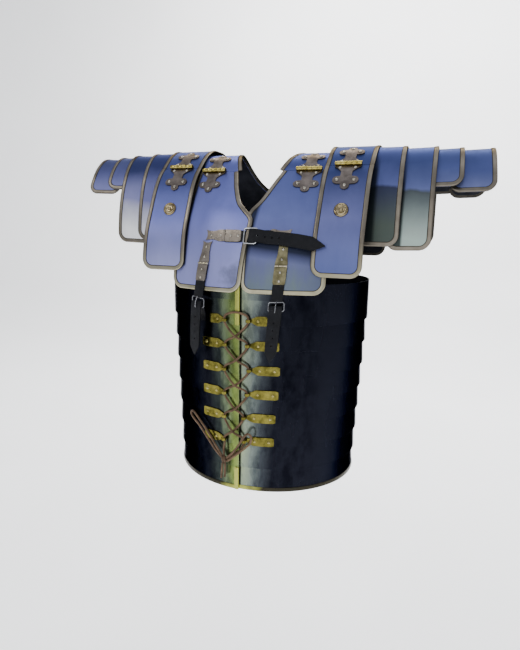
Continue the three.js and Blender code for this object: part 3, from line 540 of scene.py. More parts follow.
def add_rivets(bm, places, radius, height):
    """Low domed rivet heads at (point, outward normal) places"""
    for point, normal in places:
        turned = normal.to_track_quat("Z", "Y").to_matrix().to_4x4()
        shape = Matrix.Translation(point) @ turned @ Matrix.Diagonal((1, 1, height, 1))
        bmesh.ops.create_uvsphere(bm, u_segments=14, v_segments=8, radius=radius, matrix=shape)


def hook_rows(i, side, end, tip):
    """Middle and half width of each row of a hook, from its outer end to the end of its curl"""
    z = hoop_bottom(i) + HOOK["above"]
    wide = hoop_size(i, side)[0]
    foot = tip + HOOK["neck"]
    rows = []
    for k in range(HOOK["rows"] + 1):
        x = end + (foot - end) * k / HOOK["rows"]
        to_foot = min((x - foot) / HOOK["taper"], 1)
        half = HOOK["tip_half"] + (HOOK["half"] - HOOK["tip_half"]) * to_foot
        half -= HOOK["end_nip"] if k == 0 else 0
        point, normal = hoop_point(i, side, math.asin(x / wide), z)
        rows.append((point + normal * (HOOK["low"] + HOOK["sheet"] / 2), half))
    point, normal = hoop_point(i, side, math.asin(tip / wide), z)
    inward = Vector((-side, 0, 0))
    inward = (inward - normal * inward.dot(normal)).normalized()
    centre = point + normal * (HOOK["low"] + HOOK["curl"])
    for k in range(HOOK["curl_rows"]):
        angle = math.radians(HOOK["curl_start"] + HOOK["curl_step"] * k)
        ray = inward * math.cos(angle) + normal * math.sin(angle)
        rows.append((centre + ray * (HOOK["curl"] - HOOK["sheet"] / 2), HOOK["tip_half"]))
    return rows


hook_brass = small_metal("hook_brass", (0.075, 0.066, 0.011), (0.24, 0.21, 0.045), (0.16, 0.30))
hook_rivet_brass = small_metal("hook_rivet_brass", (0.20, 0.17, 0.05), (0.42, 0.37, 0.15), (0.12, 0.2))
hook_rivets = bmesh.new()
for word, side in SIDES:
    for i, place in enumerate(HOOK_PLACES):
        end, tip = place[word]
        rows = hook_rows(i, side, end, tip)
        bm = laid_sheet(len(rows), 5, lambda a, b: rows[a][0] + Vector((0, 0, rows[a][1] * (b - 2) / 2)))
        hook = finished(f"lace_hook_{word}_{i + 1}", bm, hook_brass, [f"tie_hook_{word}_{i + 1}"])
        sheet_thickness(hook, HOOK["sheet"], rounding=0.35)
        riveted = [tip + HOOK_RIVET["from_tip_first"]] if i == 0 else [
            tip + HOOK_RIVET["from_tip"], end - HOOK_RIVET["from_end"]]
        for x in riveted:
            point, normal = hoop_point(i, side, math.asin(x / hoop_size(i, side)[0]),
                                       hoop_bottom(i) + HOOK["above"])
            add_rivets(hook_rivets, [(point + normal * (HOOK["low"] + HOOK["sheet"]), normal)],
                       HOOK_RIVET["radius"], HOOK_RIVET["height"])
finished("hook_rivets", hook_rivets, hook_rivet_brass, [])

# Back leather
# A strip of plain brown leather down the inside of the hoops' backs, which carries them
# and shows through the narrow opening between their back ends.
BACK_LEATHER = {"half": 21, "top": -232, "bottom": -600, "middle_y": 148.1, "edge_y": 146.9,
                "thick": 2.4, "sheet": 2.2, "rows": 40, "half_columns": 3}
brown_leather = leather_finish("brown_leather", (0.07, 0.040, 0.022), (0.16, 0.095, 0.055))


def back_point(i, j):
    across = (j - BACK_LEATHER["half_columns"]) / BACK_LEATHER["half_columns"]
    drop = (BACK_LEATHER["middle_y"] - BACK_LEATHER["edge_y"]) * across ** 2
    z = BACK_LEATHER["top"] + (BACK_LEATHER["bottom"] - BACK_LEATHER["top"]) * i / BACK_LEATHER["rows"]
    y = BACK_LEATHER["middle_y"] - drop - BACK_LEATHER["thick"] / 2
    return Vector((BACK_LEATHER["half"] * across, y, z))


bm = laid_sheet(BACK_LEATHER["rows"] + 1, 2 * BACK_LEATHER["half_columns"] + 1, back_point)
back_strip = finished("back_strip", bm, brown_leather, ["back_leather"])
sheet_thickness(back_strip, BACK_LEATHER["sheet"], rounding=0.5)

# Breastplates and collar plates
# Two plates on each side of the chest, of polished steel shaped over the body and bound
# in brass: the breastplate hangs from a hinge on the collar plate, which runs over the
# shoulder and down the back. The wearer's right breastplate laps outside the left.
BODY_LINE = [  # y, z
    (-162, -243), (-157, -200), (-146, -150), (-128, -108), (-97, -67), (-64, -35), (-36, -11), (0, 0.7),
    (40, -6), (76, -30), (108, -70), (132, -122), (148, -182), (156, -245),
]
BODY_SEAM_ROW = 5
BODY_BEND = {"per_square": 0.0014, "full_depth": 120}
BODY_MIDDLE = (0, 20, -170)
LAP = {"rise": 3.2, "below": 60, "full_below": 95, "full_within": 60, "within": 105}
BREAST_EDGES = [  # distance below the seam; the front edge of the right and left plate; the armhole edge
    (0, 43, 43, 122), (20, 37, 37, 122), (46, 29, 29, 123), (76, 16, 17, 126), (93, 1, 5, 129),
    (103, -9, 1.5, 131), (114, -14, 0.8, 133), (158, -8.5, 0.6, 138), (198, -4.5, 0.5, 141),
    (240, -1, 0.5, 141),
]
COLLAR_EDGES = [  # distance past the seam; the neck edge; the armhole edge
    (0, 43, 122), (35, 54, 128), (74, 65, 134), (114, 71, 136), (150, 69, 137), (180, 59, 138),
    (202, 43, 139), (220, 22, 141), (234, 4, 142), (244, 1.6, 143), (400, 1.6, 148),
]
PLATE = {"corner": 20, "seam_gap": 0.3, "row_pitch": 5, "least_rows": 8, "columns": 25, "inset": 0.6}
LINE_STEPS = 40
BRIGHT_FACES = range(2, 6)
# Places of a plate's colours down its span; four put the sharp edge of a painted reflection after the
# second
TONE_PLACES = {3: (0, 0.5, 1), 4: (0, 0.37, 0.42, 1)}
# The plates' colours are partly the steel's own blue tint and partly a painted reflection of a blue sky
BREAST_TONES = {  # colours down the plate, from the shoulder
    "right": [(0.085, 0.098, 0.265), (0.182, 0.205, 0.515), (0.300, 0.315, 0.605)],
    "left": [(0.048, 0.060, 0.165), (0.154, 0.182, 0.419), (0.119, 0.130, 0.270)],
}
# Shadows painted beside what covers a plate: the direction away from the cover, where its edge is
# along that, how far the shadow goes under it and out from it, and the shadow's foot, in metres
BREAST_SHADES = {
    "right": [((1, 0, 0), -0.117, 0.03, 0.006, -0.200)],
    "left": [((1, 0, -0.108), 0.027, 0.03, 0.008, -1), ((-0.136, 0, -1), 0.160, 0.022, 0.020, -1)],
}
SHADE_BLACK = (0.008, 0.011, 0.012)
# A greenish tint low on the left breastplate, in wiped patches
LEFT_LOW_TINT = {"tint": (0.13, 0.17, 0.17), "span": (-0.175, -0.225)}
RIGHT_SPOT = {"tint": (0.09, 0.10, 0.13), "at": (-0.011, -0.160, -0.220), "reach": 0.034}


class Line:
    """A smooth line through rows of (y, z), measured along its length"""

    def __init__(self, rows, seam_row=0):
        self.points = smooth_points([(0, y, z) for y, z in rows], LINE_STEPS)
        self.reach = [0.0]
        for a, b in zip(self.points, self.points[1:]):
            self.reach.append(self.reach[-1] + (b - a).length)
        self.length = self.reach[-1]
        self.seam = self.reach[seam_row * LINE_STEPS]

    def at(self, s):
        low, high = 0, len(self.reach) - 1
        while high - low > 1:
            middle = (low + high) // 2
            low, high = (middle, high) if self.reach[middle] <= s else (low, middle)
        t = (s - self.reach[low]) / (self.reach[high] - self.reach[low])
        return self.points[low].lerp(self.points[high], t)

    def at_height(self, z):
        """Place on the front part of the line, or on its foot's run, at a height"""
        first, second = self.at(0), self.at(1)
        if z <= first.z:
            return (z - first.z) / (second.z - first.z)
        s = 0.0
        while self.at(s).z < z:
            s += 0.5
        return s


def looked_up(rows, column, place):
    """Value of a column at a place between the rows of a table, smoothed at the rows"""
    places = [row[0] for row in rows]
    i = 0
    while i < len(rows) - 2 and places[i + 1] < place:
        i += 1
    t = min(max((place - places[i]) / (places[i + 1] - places[i]), 0), 1)
    slopes = []
    for k in (i, i + 1):
        a, b = rows[max(k - 1, 0)], rows[min(k + 1, len(rows) - 1)]
        slopes.append((b[column] - a[column]) / (b[0] - a[0]) * (places[i + 1] - places[i]))
    first, last = rows[i][column], rows[i + 1][column]
    return (first * (1 + 2 * t) * (1 - t) ** 2 + last * t * t * (3 - 2 * t)
            + slopes[0] * t * (1 - t) ** 2 + slopes[1] * t * t * (t - 1))


def edge_of(rows, column, way):
    """Edge whose distance from the middle a table gives, by the distance from the seam"""
    return lambda s: looked_up(rows, column, way * (s - body_line.seam))


def eased(value):
    t = min(max(value, 0), 1)
    return t * t * (3 - 2 * t)


def body_surface(s, x):
    point = body_line.at(s)
    bend = BODY_BEND["per_square"] * eased(-point.z / BODY_BEND["full_depth"]) * x * x
    return Vector((x, point.y - math.copysign(bend, point.y), point.z))


def breast_surface(side):
    """Surface of a breastplate: the right one comes forward where it laps the left"""
    def surface(s, x):
        point = body_surface(s, x)
        if side < 0:
            below = eased((body_line.seam - s - LAP["below"]) / (LAP["full_below"] - LAP["below"]))
            near = eased((LAP["within"] + x) / (LAP["within"] - LAP["full_within"]))
            point.y -= LAP["rise"] * below * near
        return point
    return surface


def normal_of(surface, s, x):
    step = 2.0
    down_the_line = surface(s + step, x) - surface(s - step, x)
    across = surface(s, x + step) - surface(s, x - step)
    return across.cross(down_the_line).normalized()


def lifted(surface, s, x, out):
    return surface(s, x) + normal_of(surface, s, x) * out


def drawn_in(distance):
    """How far a rounded corner draws an edge in, at a distance from the plate's end"""
    radius = PLATE["corner"]
    if distance >= radius:
        return 0.0
    return radius - math.sqrt(max(radius ** 2 - (radius - distance) ** 2, 0))


def plate(name, surface, ends, edges, side, rounded, steel, node, body="root"):
    """Steel plate on a surface between two ends and two edges, inside its binding"""
    first, last = ends
    radius = PLATE["corner"]
    count = max(int((last - first) / PLATE["row_pitch"]), PLATE["least_rows"])
    stations = [first + (last - first) * k / count for k in range(count + 1)]
    arc = [radius * (1 - math.cos(math.radians(9 * k))) for k in range(11)]
    if rounded[0]:
        stations = [first + d for d in arc] + [s for s in stations if s > first + radius + 1]
    if rounded[1]:
        stations = [s for s in stations if s < last - radius - 1] + [last - d for d in reversed(arc)]

    def point(i, j):
        s = stations[i]
        draw = max(drawn_in(s - first) if rounded[0] else 0, drawn_in(last - s) if rounded[1] else 0)
        a, b = edges[0](s) + draw + PLATE["inset"], edges[1](s) - draw - PLATE["inset"]
        return surface(s, side * (a + (b - a) * j / (PLATE["columns"] - 1)))

    bm = laid_sheet(len(stations), PLATE["columns"], point)
    faced_out(bm, 0, BODY_MIDDLE)
    piece = finished(name, bm, (steel, inside_steel), [node], body)
    sheet_thickness(piece, SHEET, rounding=0.3)


def edging(name, surface, outline, side, body="root"):
    """Brass edging along an outline of (s, x) places on a plate"""
    path = []
    middle = Vector([sum(place[k] for place in outline) / len(outline) for k in (0, 1)])
    turn_way = 0
    for k, (s, x) in enumerate(outline):
        before, after = outline[max(k - 1, 0)], outline[min(k + 1, len(outline) - 1)]
        run = Vector((after[0] - before[0], after[1] - before[1])).normalized()
        inward = Vector((-run.y, run.x))
        if not turn_way:
            turn_way = 1 if inward.dot(middle - Vector((s, x))) > 0 else -1
        inward *= turn_way
        here = surface(s, side * x)
        there = surface(s + inward.x * 2, side * (x + inward.y * 2))
        path.append((here, (there - here) / 2, normal_of(surface, s, side * x)))
    # The edging's rims take the painted shade
    finished(name, edging_tube(path, BRIGHT_FACES), (binding_brass, binding_shade), [],
             body, sharp=55)


def along(first, last, pitch):
    count = max(int(abs(last - first) / pitch), 2)
    return [first + (last - first) * k / count for k in range(count + 1)]


def corner(end, way, edge, inward):
    """Places round a corner, from the end's straight run to the edge's"""
    radius = PLATE["corner"]
    places = []
    for k in range(1, 12):
        angle = math.radians(7.5 * k)
        s = end + way * radius * (1 - math.cos(angle))
        places.append((s, edge(s) + inward * radius * (1 - math.sin(angle))))
    return places


def u_outline(straight, end, edges, way):
    """Outline down one edge, round the end and back up the other; way points inward from the end"""
    turn_at = end + way * PLATE["corner"]
    down_first = [(s, edges[0](s)) for s in along(straight, turn_at, 5)]
    up_second = [(s, edges[1](s)) for s in along(turn_at, straight, 5)]
    a, b = edges[0](end) + PLATE["corner"], edges[1](end) - PLATE["corner"]
    across = [(end, x) for x in along(a, b, 6)]
    first_corner = corner(end, way, edges[0], 1)[::-1]
    return down_first + first_corner + across + corner(end, way, edges[1], -1) + up_second


def bound_plate(kind, word, surface, seam, end, edges, side, steel, node, body="root"):
    """Plate from just past its seam to its free end, and its edging round all but the seam"""
    way = 1 if end < seam else -1
    seam -= way * PLATE["seam_gap"]
    plate(f"{kind}_{word}", surface, sorted((seam, end)), edges, side, (way > 0, way < 0), steel, node,
          body)
    edging(f"{kind}_edge_{word}", surface, u_outline(seam, end, edges, way), side, body)


def plate_steel(name, tones, span=(-0.03, -0.20), low_tint=None, spot=None, shades=()):
    """Polished plate: deep blue at the shoulder, paler below, with soft upright wipe marks.
    The blue is partly the steel's own tint and partly a painted reflection of a blue sky.
    Its colours run down the span, evenly where there are three, with a quick change where
    there are four, which is the edge of a painted reflection."""
    finish = Finish(name, 1)
    _, y, z = finish.axes()
    height = finish.plus(z, finish.ranged(finish.noise(16, 3), 0.3, 0.7, -0.007, 0.007))
    # Colours down the span: the steel's blue tint with a painted reflection
    colour = finish.ramp(finish.ranged(height, *span, 0, 1), list(zip(TONE_PLACES[len(tones)], tones)))
    wiped = finish.noise(34, 4, stretch=(1, 1, 0.22), roughness=0.6)
    # A tint over the colours towards the bottom of the given span
    if low_tint:
        amount = finish.times(finish.ranged(height, *low_tint["span"], 0, 1),
                              finish.ranged(wiped, 0.35, 0.6, 0.35, 1))
        colour = finish.mixed(amount, colour, low_tint["tint"])
    if spot:
        ragged = finish.ranged(finish.noise(70, 4), 0.3, 0.7, -0.01, 0.01)
        away = finish.plus(finish.measured("DISTANCE", spot["at"]), ragged)
        colour = finish.mixed(finish.ranged(away, 0.004, spot["reach"], 0.75, 0), colour, spot["tint"])
    in_front = finish.ranged(y, -0.03, -0.05, 0, 1)
    for slope, start, under, reach, foot in shades:
        beyond = finish.plus(finish.measured("DOT_PRODUCT", slope), -start)
        amount = finish.times(finish.ranged(beyond, -under - 0.003, -under, 0, 1),
                              finish.ranged(beyond, 0.001, reach, 0.88, 0))
        amount = finish.times(amount, finish.ranged(z, foot - 0.005, foot, 0, 1))
        colour = finish.mixed(finish.times(amount, in_front), colour, SHADE_BLACK)
    wipe_tone = finish.ramp(wiped, [(0.3, (0.88, 0.88, 0.90)), (0.65, (1, 1, 1))])
    finish.colour(finish.mixed(1.0, colour, wipe_tone, "MULTIPLY"))
    finish.roughness(wiped, 0.44, 0.50)
    finish.edge_tint((0.55, 0.56, 0.60))
    scratches = finish.times(finish.noise(900, 2, stretch=(1, 0.25, 0.04)), 0.02)
    finish.bump(finish.plus(finish.noise(14, 2), scratches), 0.07, 0.0014)
    return finish.material


def plate_edge_brass():
    """Brass of the plates' edging: brown-grey above, yellower low on the chest with a painted highlight"""
    finish = Finish("binding_brass", 1)
    _, _, z = finish.axes()
    patches = finish.noise(28, 3)
    height = finish.plus(z, finish.ranged(patches, 0.3, 0.7, -0.02, 0.02))
    tarnish = finish.ramp(patches, [(0.35, (0.130, 0.114, 0.092)), (0.65, (0.205, 0.182, 0.148))])
    # Painted highlight: brighter, yellower brass low on the chest
    bright = finish.ramp(patches, [(0.35, (0.30, 0.275, 0.18)), (0.65, (0.48, 0.45, 0.32))])
    finish.colour(finish.mixed(finish.ranged(height, -0.17, -0.235, 0, 1), tarnish, bright))
    finish.roughness(finish.noise(90, 2), 0.32, 0.40)
    finish.edge_tint((0.2, 0.19, 0.18))
    finish.bump(finish.noise(120, 2), 0.03, 0.0003)
    return finish.material


body_line = Line(BODY_LINE, BODY_SEAM_ROW)
binding_brass = plate_edge_brass()
# Painted shade: a dark finish on the edging's rims, for the thin shadow lines along them
binding_shade = small_metal("binding_shade", (0.030, 0.028, 0.024), (0.060, 0.055, 0.045), (0.4, 0.55))
breast_steel = {
    "right": plate_steel("breast_steel_right", BREAST_TONES["right"], spot=RIGHT_SPOT,
                         shades=BREAST_SHADES["right"]),
    "left": plate_steel("breast_steel_left", BREAST_TONES["left"], low_tint=LEFT_LOW_TINT,
                        shades=BREAST_SHADES["left"]),
}
for word, side in SIDES:
    breast_edges = edge_of(BREAST_EDGES, 1 if side < 0 else 2, -1), edge_of(BREAST_EDGES, 3, -1)
    bound_plate("breast", word, breast_surface(side), body_line.seam, 0, breast_edges, side,
                breast_steel[word], f"breastplate_{word}")
    collar_edges = edge_of(COLLAR_EDGES, 1, 1), edge_of(COLLAR_EDGES, 2, 1)
    bound_plate("collar", word, body_surface, body_line.seam, body_line.length, collar_edges, side,
                breast_steel[word], f"collar_plate_{word}")

# Upper shoulder guards
# On each side a front plate with a dished brass boss hangs from a hinge on a longer
# plate that goes over the shoulder and down the back, both bound in brass.
GUARD_LINE = [  # y, z
    (-141.5, -212), (-138, -180), (-130, -145), (-111, -102), (-94, -67), (-77, -43), (-61, -28),
    (-32, -4), (-4, 9), (20, 10.6), (46, 9), (72, 0.5), (97, -20), (115, -60), (123.5, -110),
    (128.5, -150), (132, -190),
]
GUARD = {"seam_row": 6, "inner": 116, "outer": 201, "top_inner": 118, "spread": 5, "front_taper": 2}
# Colours down the plate, from the shoulder: partly the steel's own blue tint and partly a painted
# reflection of a blue sky
GUARD_TONES = {
    "right": [(0.048, 0.060, 0.160), (0.125, 0.145, 0.385), (0.320, 0.335, 0.600)],
    "left": [(0.024, 0.034, 0.100), (0.155, 0.172, 0.385), (0.108, 0.132, 0.315)],
}
BOSS = {"x": 158, "below": 92, "sides": 40, "ring_from": 6.5, "ring_to": 8.8, "wave": 0.3, "waves": 12}
BOSS_PROFILE = [  # distance from the middle, height
    (0, 4.4), (1.8, 4.1), (2.8, 3.1), (3.2, 1.3), (4.6, 1.0), (6.0, 1.7), (7.4, 3.0), (8.4, 3.1),
    (9.2, 2.0), (10.2, 1.8), (11.2, 2.6), (12.1, 1.8), (12.5, 0),
]


def level_edge(distance):
    """Edge at one distance from the middle all along"""
    return lambda s: distance


def guard_surface(s, x):
    point = guard_line.at(s)
    return Vector((x, point.y, point.z))


def guard_inner(s):
    return GUARD["inner"] + GUARD["front_taper"] * s / guard_line.seam


def guard_back_outer(s):
    return GUARD["outer"] + GUARD["spread"] * (s - guard_line.seam) / (guard_line.length - guard_line.seam)


def boss(name, side, body):
    """Dished brass boss, turned in one piece, with a lightly beaded ring round its hub"""
    bm = bmesh.new()
    verts = [bm.verts.new((r, 0, h)) for r, h in BOSS_PROFILE]
    for a, b in zip(verts, verts[1:]):
        bm.edges.new((a, b))
    bmesh.ops.spin(bm, geom=bm.verts[:] + bm.edges[:], axis=(0, 0, 1), cent=(0, 0, 0), angle=2 * math.pi,
                   steps=BOSS["sides"], use_merge=True)
    bmesh.ops.remove_doubles(bm, verts=bm.verts, dist=0.01)
    for vertex in bm.verts:
        if BOSS["ring_from"] < math.hypot(vertex.co.x, vertex.co.y) < BOSS["ring_to"]:
            spoke = math.atan2(vertex.co.y, vertex.co.x)
            vertex.co.z += BOSS["wave"] * math.cos(BOSS["waves"] * spoke)
    bmesh.ops.holes_fill(bm, edges=[e for e in bm.edges if e.is_boundary], sides=0)
    bmesh.ops.recalc_face_normals(bm, faces=bm.faces)
    s, x = guard_line.seam - BOSS["below"], side * BOSS["x"]
    turned = normal_of(guard_surface, s, x).to_track_quat("Z", "Y").to_matrix().to_4x4()
    foot = Matrix.Translation(lifted(guard_surface, s, x, SHEET / 2))
    bmesh.ops.transform(bm, verts=bm.verts, matrix=foot @ turned)
    finished(name, bm, boss_brass, [], body)


guard_line = Line(GUARD_LINE, GUARD["seam_row"])
boss_brass = small_metal("boss_brass", (0.22, 0.17, 0.09), (0.36, 0.30, 0.18), (0.10, 0.18))
for word, side in SIDES:
    steel = plate_steel(f"guard_steel_{word}", GUARD_TONES[word])
    flap = "guard_flap" if side < 0 else "root"
    bound_plate("shoulder_front", word, guard_surface, guard_line.seam, 0,
                (guard_inner, level_edge(GUARD["outer"])), side, steel, f"upper_guard_front_{word}", flap)
    bound_plate("shoulder_top", word, guard_surface, guard_line.seam, guard_line.length,
                (level_edge(GUARD["top_inner"]), guard_back_outer), side, steel, f"upper_guard_top_{word}")
    boss(f"boss_{word}", side, flap)

# Lesser shoulder guards
# Four arched strips of steel a side, each tucked under the one nearer the neck, bound in
# brass along the outer edge and both ends.
LESSER_COLUMNS = ("inner", "outer", "front_y", "ridge", "tilt", "back", "front_low", "back_low", "drawn_in")
LESSER = [
    (176, 249, 5, 7.6, 0, 77, -162, -160, 0),
    (227, 301, 15, 7, 0.03, 74, -167, -165, 2),
    (275, 344, 24, 4.9, 0.03, 69, -62, -67, 6),
    (320, 396, 37, 4.4, 0.03, 66.5, -70, -74, 11),
]
ARCH = {"centre_z": -170, "front": 83, "back_y": 40, "steps": 16}
OUTER_SPAN = (0.0, -0.06)
# Partly the steel's blue tint and partly painted reflection: near white low on the right's first two
# strips, with a sharp reflection edge where there are four colours
LESSER_TONES = {  # for the first two strips and the outer ones, with the span of heights
    "right": [
        ([(0.036, 0.044, 0.125), (0.150, 0.158, 0.340), (0.780, 0.780, 0.830)], (-0.02, -0.15)),
        ([(0.036, 0.044, 0.120), (0.190, 0.198, 0.380), (0.970, 0.970, 0.970)], (-0.03, -0.14)),
        ([(0.060, 0.070, 0.155), (0.095, 0.105, 0.245), (0.140, 0.150, 0.320)], OUTER_SPAN),
    ],
    "left": [
        ([(0.052, 0.066, 0.172), (0.110, 0.132, 0.320), (0.040, 0.046, 0.085), (0.068, 0.085, 0.075)],
         (-0.02, -0.13)),
        ([(0.052, 0.068, 0.175), (0.125, 0.152, 0.340), (0.075, 0.090, 0.100), (0.340, 0.420, 0.385)],
         (-0.02, -0.15)),
        ([(0.036, 0.048, 0.125), (0.075, 0.095, 0.240), (0.150, 0.175, 0.360)], OUTER_SPAN),
    ],
}
LESSER_SHADES = {
    "right": [(), (), ()],
    "left": [[((1, 0, 0), 0.203, 0.03, 0.007, -1)], [((1, 0, 0), 0.2495, 0.03, 0.005, -1)], ()],
}


def arch_line(row):
    """Line of a strip over the shoulder: an arc up in front, a short level and an arc down behind"""
    height = row["ridge"] - ARCH["centre_z"]
    rows = []
    for n in range(2 * ARCH["steps"] + 1):
        in_front = n <= ARCH["steps"]
        low = math.asin((row["front_low" if in_front else "back_low"] - ARCH["centre_z"]) / height)
        share = n / ARCH["steps"] if in_front else 2 - n / ARCH["steps"]
        angle = low + (math.pi / 2 - low) * share
        y = row["front_y"] - ARCH["front"] * math.cos(angle)
        if not in_front:
            y = ARCH["back_y"] + row["back"] * math.cos(angle)
        rows.append((y, ARCH["centre_z"] + height * math.sin(angle)))
    top_y = rows[ARCH["steps"]][0]
    rows.insert(ARCH["steps"] + 1, ((top_y + ARCH["back_y"]) / 2, row["ridge"]))
    return Line(rows)


for word, side in SIDES:
    steels = []
    for part, (tones, span), shades in zip((1, 2, "outer"), LESSER_TONES[word], LESSER_SHADES[word]):
        steels.append(plate_steel(f"lesser_steel_{word}_{part}", tones, span, shades=shades))
    for k, values in enumerate(LESSER):
        row = dict(zip(LESSER_COLUMNS, values))
        arch = arch_line(row)
        end = arch.length

        def arch_surface(s, x):
            point = arch.at(s)
            return Vector((x, point.y, point.z + row["tilt"] * (abs(x) - row["outer"])))

        def free_edge(s):
            return row["outer"] - row["drawn_in"] * s / end

        tucked_edge = level_edge(row["inner"])
        plate(f"lesser_{word}_{k + 1}", arch_surface, (0, end), (tucked_edge, free_edge), side,
              (True, True), steels[min(k, 2)], f"lesser_guard_{word}_{k + 1}")
        radius = PLATE["corner"]
        outline = corner(0, 1, tucked_edge, 1)[::-1]
        outline += [(0, x) for x in along(row["inner"] + radius, row["outer"] - radius, 6)]
        outline += corner(0, 1, free_edge, -1)
        outline += [(s, free_edge(s)) for s in along(radius, end - radius, 5)]
        outline += corner(end, -1, free_edge, -1)[::-1]
        outline += [(end, x) for x in along(free_edge(end) - radius, row["inner"] + radius, 6)]
        outline += corner(end, -1, tucked_edge, 1)
        edging(f"lesser_edge_{word}_{k + 1}", arch_surface, outline, side)

# Ornamental hinges
# Cast and cut brass hinges on the collar and the upper guards: a waisted leaf with three
# round lobes above and below a barrel of knuckles, each leaf held by five rivets.
HINGE = {"barrel": 3.6, "collar_x": 90, "guard_x": 158, "low": 1.0, "sheet": 1.3, "middle": 8.2,
         "half": 22.5, "gap": 0.3, "pin_in": 0.8, "pin_short": 1}
LEAF = {"length": 55, "rows": 60, "columns": 9, "base": 6, "neck": 9.5, "neck_from": 19, "lobe_d": 36.5,
        "lobe_x": 14.3, "lobe": 7.6, "tip_d": 47.4, "split_start": 4.9}
LEAF_RIVETS = [(8.5, 13), (8.5, -13), (36.5, 14.3), (36.5, -14.3), (47.4, 0)]  # from the barrel, across
LEAF_RIVET = {"radius": 3.1, "height": 0.6}
KNUCKLES = [(-23, -13.9), (-13.9, -4.7), (-4.7, 4.7), (4.7, 13.9), (13.9, 23)]
KNUCKLE_END = HINGE["middle"] + 0.3
TAB = {"from": 1.6, "long": 3.6, "sheet": 1.2}


def leaf_half(d):
    """Half width of a hinge leaf at a distance from its barrel"""
    if d < LEAF["base"]:
        return HINGE["half"]
    neck = LEAF["neck"] if d < LEAF["tip_d"] - 6 else 0
    flare = 0
    if d < LEAF["neck_from"]:
        t = (d - LEAF["base"]) / (LEAF["neck_from"] - LEAF["base"])
        flare = LEAF["neck"] + (HINGE["half"] - LEAF["neck"]) * (1 - t) ** 1.3
    lobe = LEAF["lobe"] ** 2 - (d - LEAF["lobe_d"]) ** 2
    side_lobe = LEAF["lobe_x"] + math.sqrt(lobe) if lobe > 0 else 0
    tip = LEAF["lobe"] ** 2 - (d - LEAF["tip_d"]) ** 2
    tip_lobe = math.sqrt(tip) if tip > 0 else 0
    return max(neck, flare, side_lobe, tip_lobe, 0.4)


def hinge_leaf(name, surface, seam, way, x, body, nodes, start=0.0):
    """One leaf on a surface, from its barrel along the plate, with its rivets"""
    rows = [start + (LEAF["length"] - start) * k / LEAF["rows"] for k in range(LEAF["rows"] + 1)]
    out = HINGE["low"] + HINGE["sheet"] / 2
    half_columns = (LEAF["columns"] - 1) / 2

    def point(i, j):
        across = leaf_half(rows[i]) * (j - half_columns) / half_columns
        return lifted(surface, seam + way * rows[i], x + across, out)

    bm = laid_sheet(len(rows), LEAF["columns"], point)
    leaf = finished(name, bm, leaf_brass, nodes, body)
    sheet_thickness(leaf, HINGE["sheet"], rounding=0.35)
    rivets = bmesh.new()
    places = []
    for d, across in LEAF_RIVETS:
        s = seam + way * d
        places.append((lifted(surface, s, x + across, out + HINGE["sheet"] / 2),
                       normal_of(surface, s, x + across)))
    add_rivets(rivets, places, LEAF_RIVET["radius"], LEAF_RIVET["height"])
    finished(name + "_rivets", rivets, rivet_metal, [], body)


def add_drum(bm, centre, turned, radius, depth, segments, rounding=0.0):
    """Drum across a hinge, its rims rounded"""
    made = bmesh.ops.create_cone(bm, cap_ends=True, segments=segments, radius1=radius, radius2=radius,
                                 depth=depth, matrix=Matrix.Translation(centre) @ turned)
    if rounding:
        rims = {e for v in made["verts"] for e in v.link_edges if e.calc_face_angle() > 1}
        bmesh.ops.bevel(bm, geom=list(rims), offset=rounding, segments=2, affect="EDGES", profile=0.5,
                        material=-1)


def barrel(name, surface, seam, x, spans, body):
    """Knuckles of a hinge's barrel, each between two distances from the middle, on their pin"""
    centre = lifted(surface, seam, x, HINGE["low"] + HINGE["barrel"])
    way = (lifted(surface, seam, x + 20, 4) - lifted(surface, seam, x - 20, 4)).normalized()
    turned = way.to_track_quat("Z", "Y").to_matrix().to_4x4()
    bm = bmesh.new()
    for low, high in spans:
        add_drum(bm, centre + way * (low + high) / 2, turned, HINGE["barrel"], high - low - HINGE["gap"],
                 segments=24, rounding=0.35)
    if len(spans) > 2:
        pin_half = spans[-1][1] - HINGE["pin_short"]
        add_drum(bm, centre, turned, HINGE["barrel"] - HINGE["pin_in"], 2 * pin_half, segments=16)
    finished(name, bm, barrel_brass, [], body)


def hinge_tab(name, way, low, high, body):
    """Flat tab that joins a leaf of the moving hinge to its knuckle"""
    def point(i, j):
        return lifted(guard_surface, guard_line.seam + way * (TAB["from"] + TAB["long"] * i / 3),
                      low + (high - low) * j / 3 - HINGE["guard_x"], HINGE["low"] + HINGE["sheet"] / 2)

    tab = finished(name, laid_sheet(4, 4, point), leaf_brass, [], body)
    sheet_thickness(tab, TAB["sheet"], rounding=0.2)


leaf_brass = small_metal("leaf_brass", (0.09, 0.076, 0.068), (0.16, 0.135, 0.12), (0.26, 0.4))
barrel_brass = small_metal("barrel_brass", (0.30, 0.235, 0.05), (0.52, 0.43, 0.14), (0.08, 0.18))
rivet_metal = small_metal("rivet_metal", (0.26, 0.24, 0.20), (0.46, 0.43, 0.37), (0.10, 0.18))
for word, side in SIDES:
    x = side * HINGE["collar_x"]
    seam = body_line.seam
    hinge_leaf(f"collar_leaf_upper_{word}", body_surface, seam, 1, x, "root", [f"collar_hinge_{word}"])
    hinge_leaf(f"collar_leaf_lower_{word}", breast_surface(side), seam, -1, x, "root", [])
    barrel(f"collar_barrel_{word}", body_surface, seam, x, KNUCKLES, "root")
seam = guard_line.seam
x = HINGE["guard_x"]
hinge_leaf("guard_leaf_upper_left", guard_surface, seam, 1, x, "root", ["guard_hinge_left"])
hinge_leaf("guard_leaf_lower_left", guard_surface, seam, -1, x, "root", [])
barrel("guard_barrel_left", guard_surface, seam, x, KNUCKLES, "root")
hinge_leaf("guard_leaf_upper_right", guard_surface, seam, 1, -x, "root", ["guard_hinge_right_upper"],
           LEAF["split_start"])
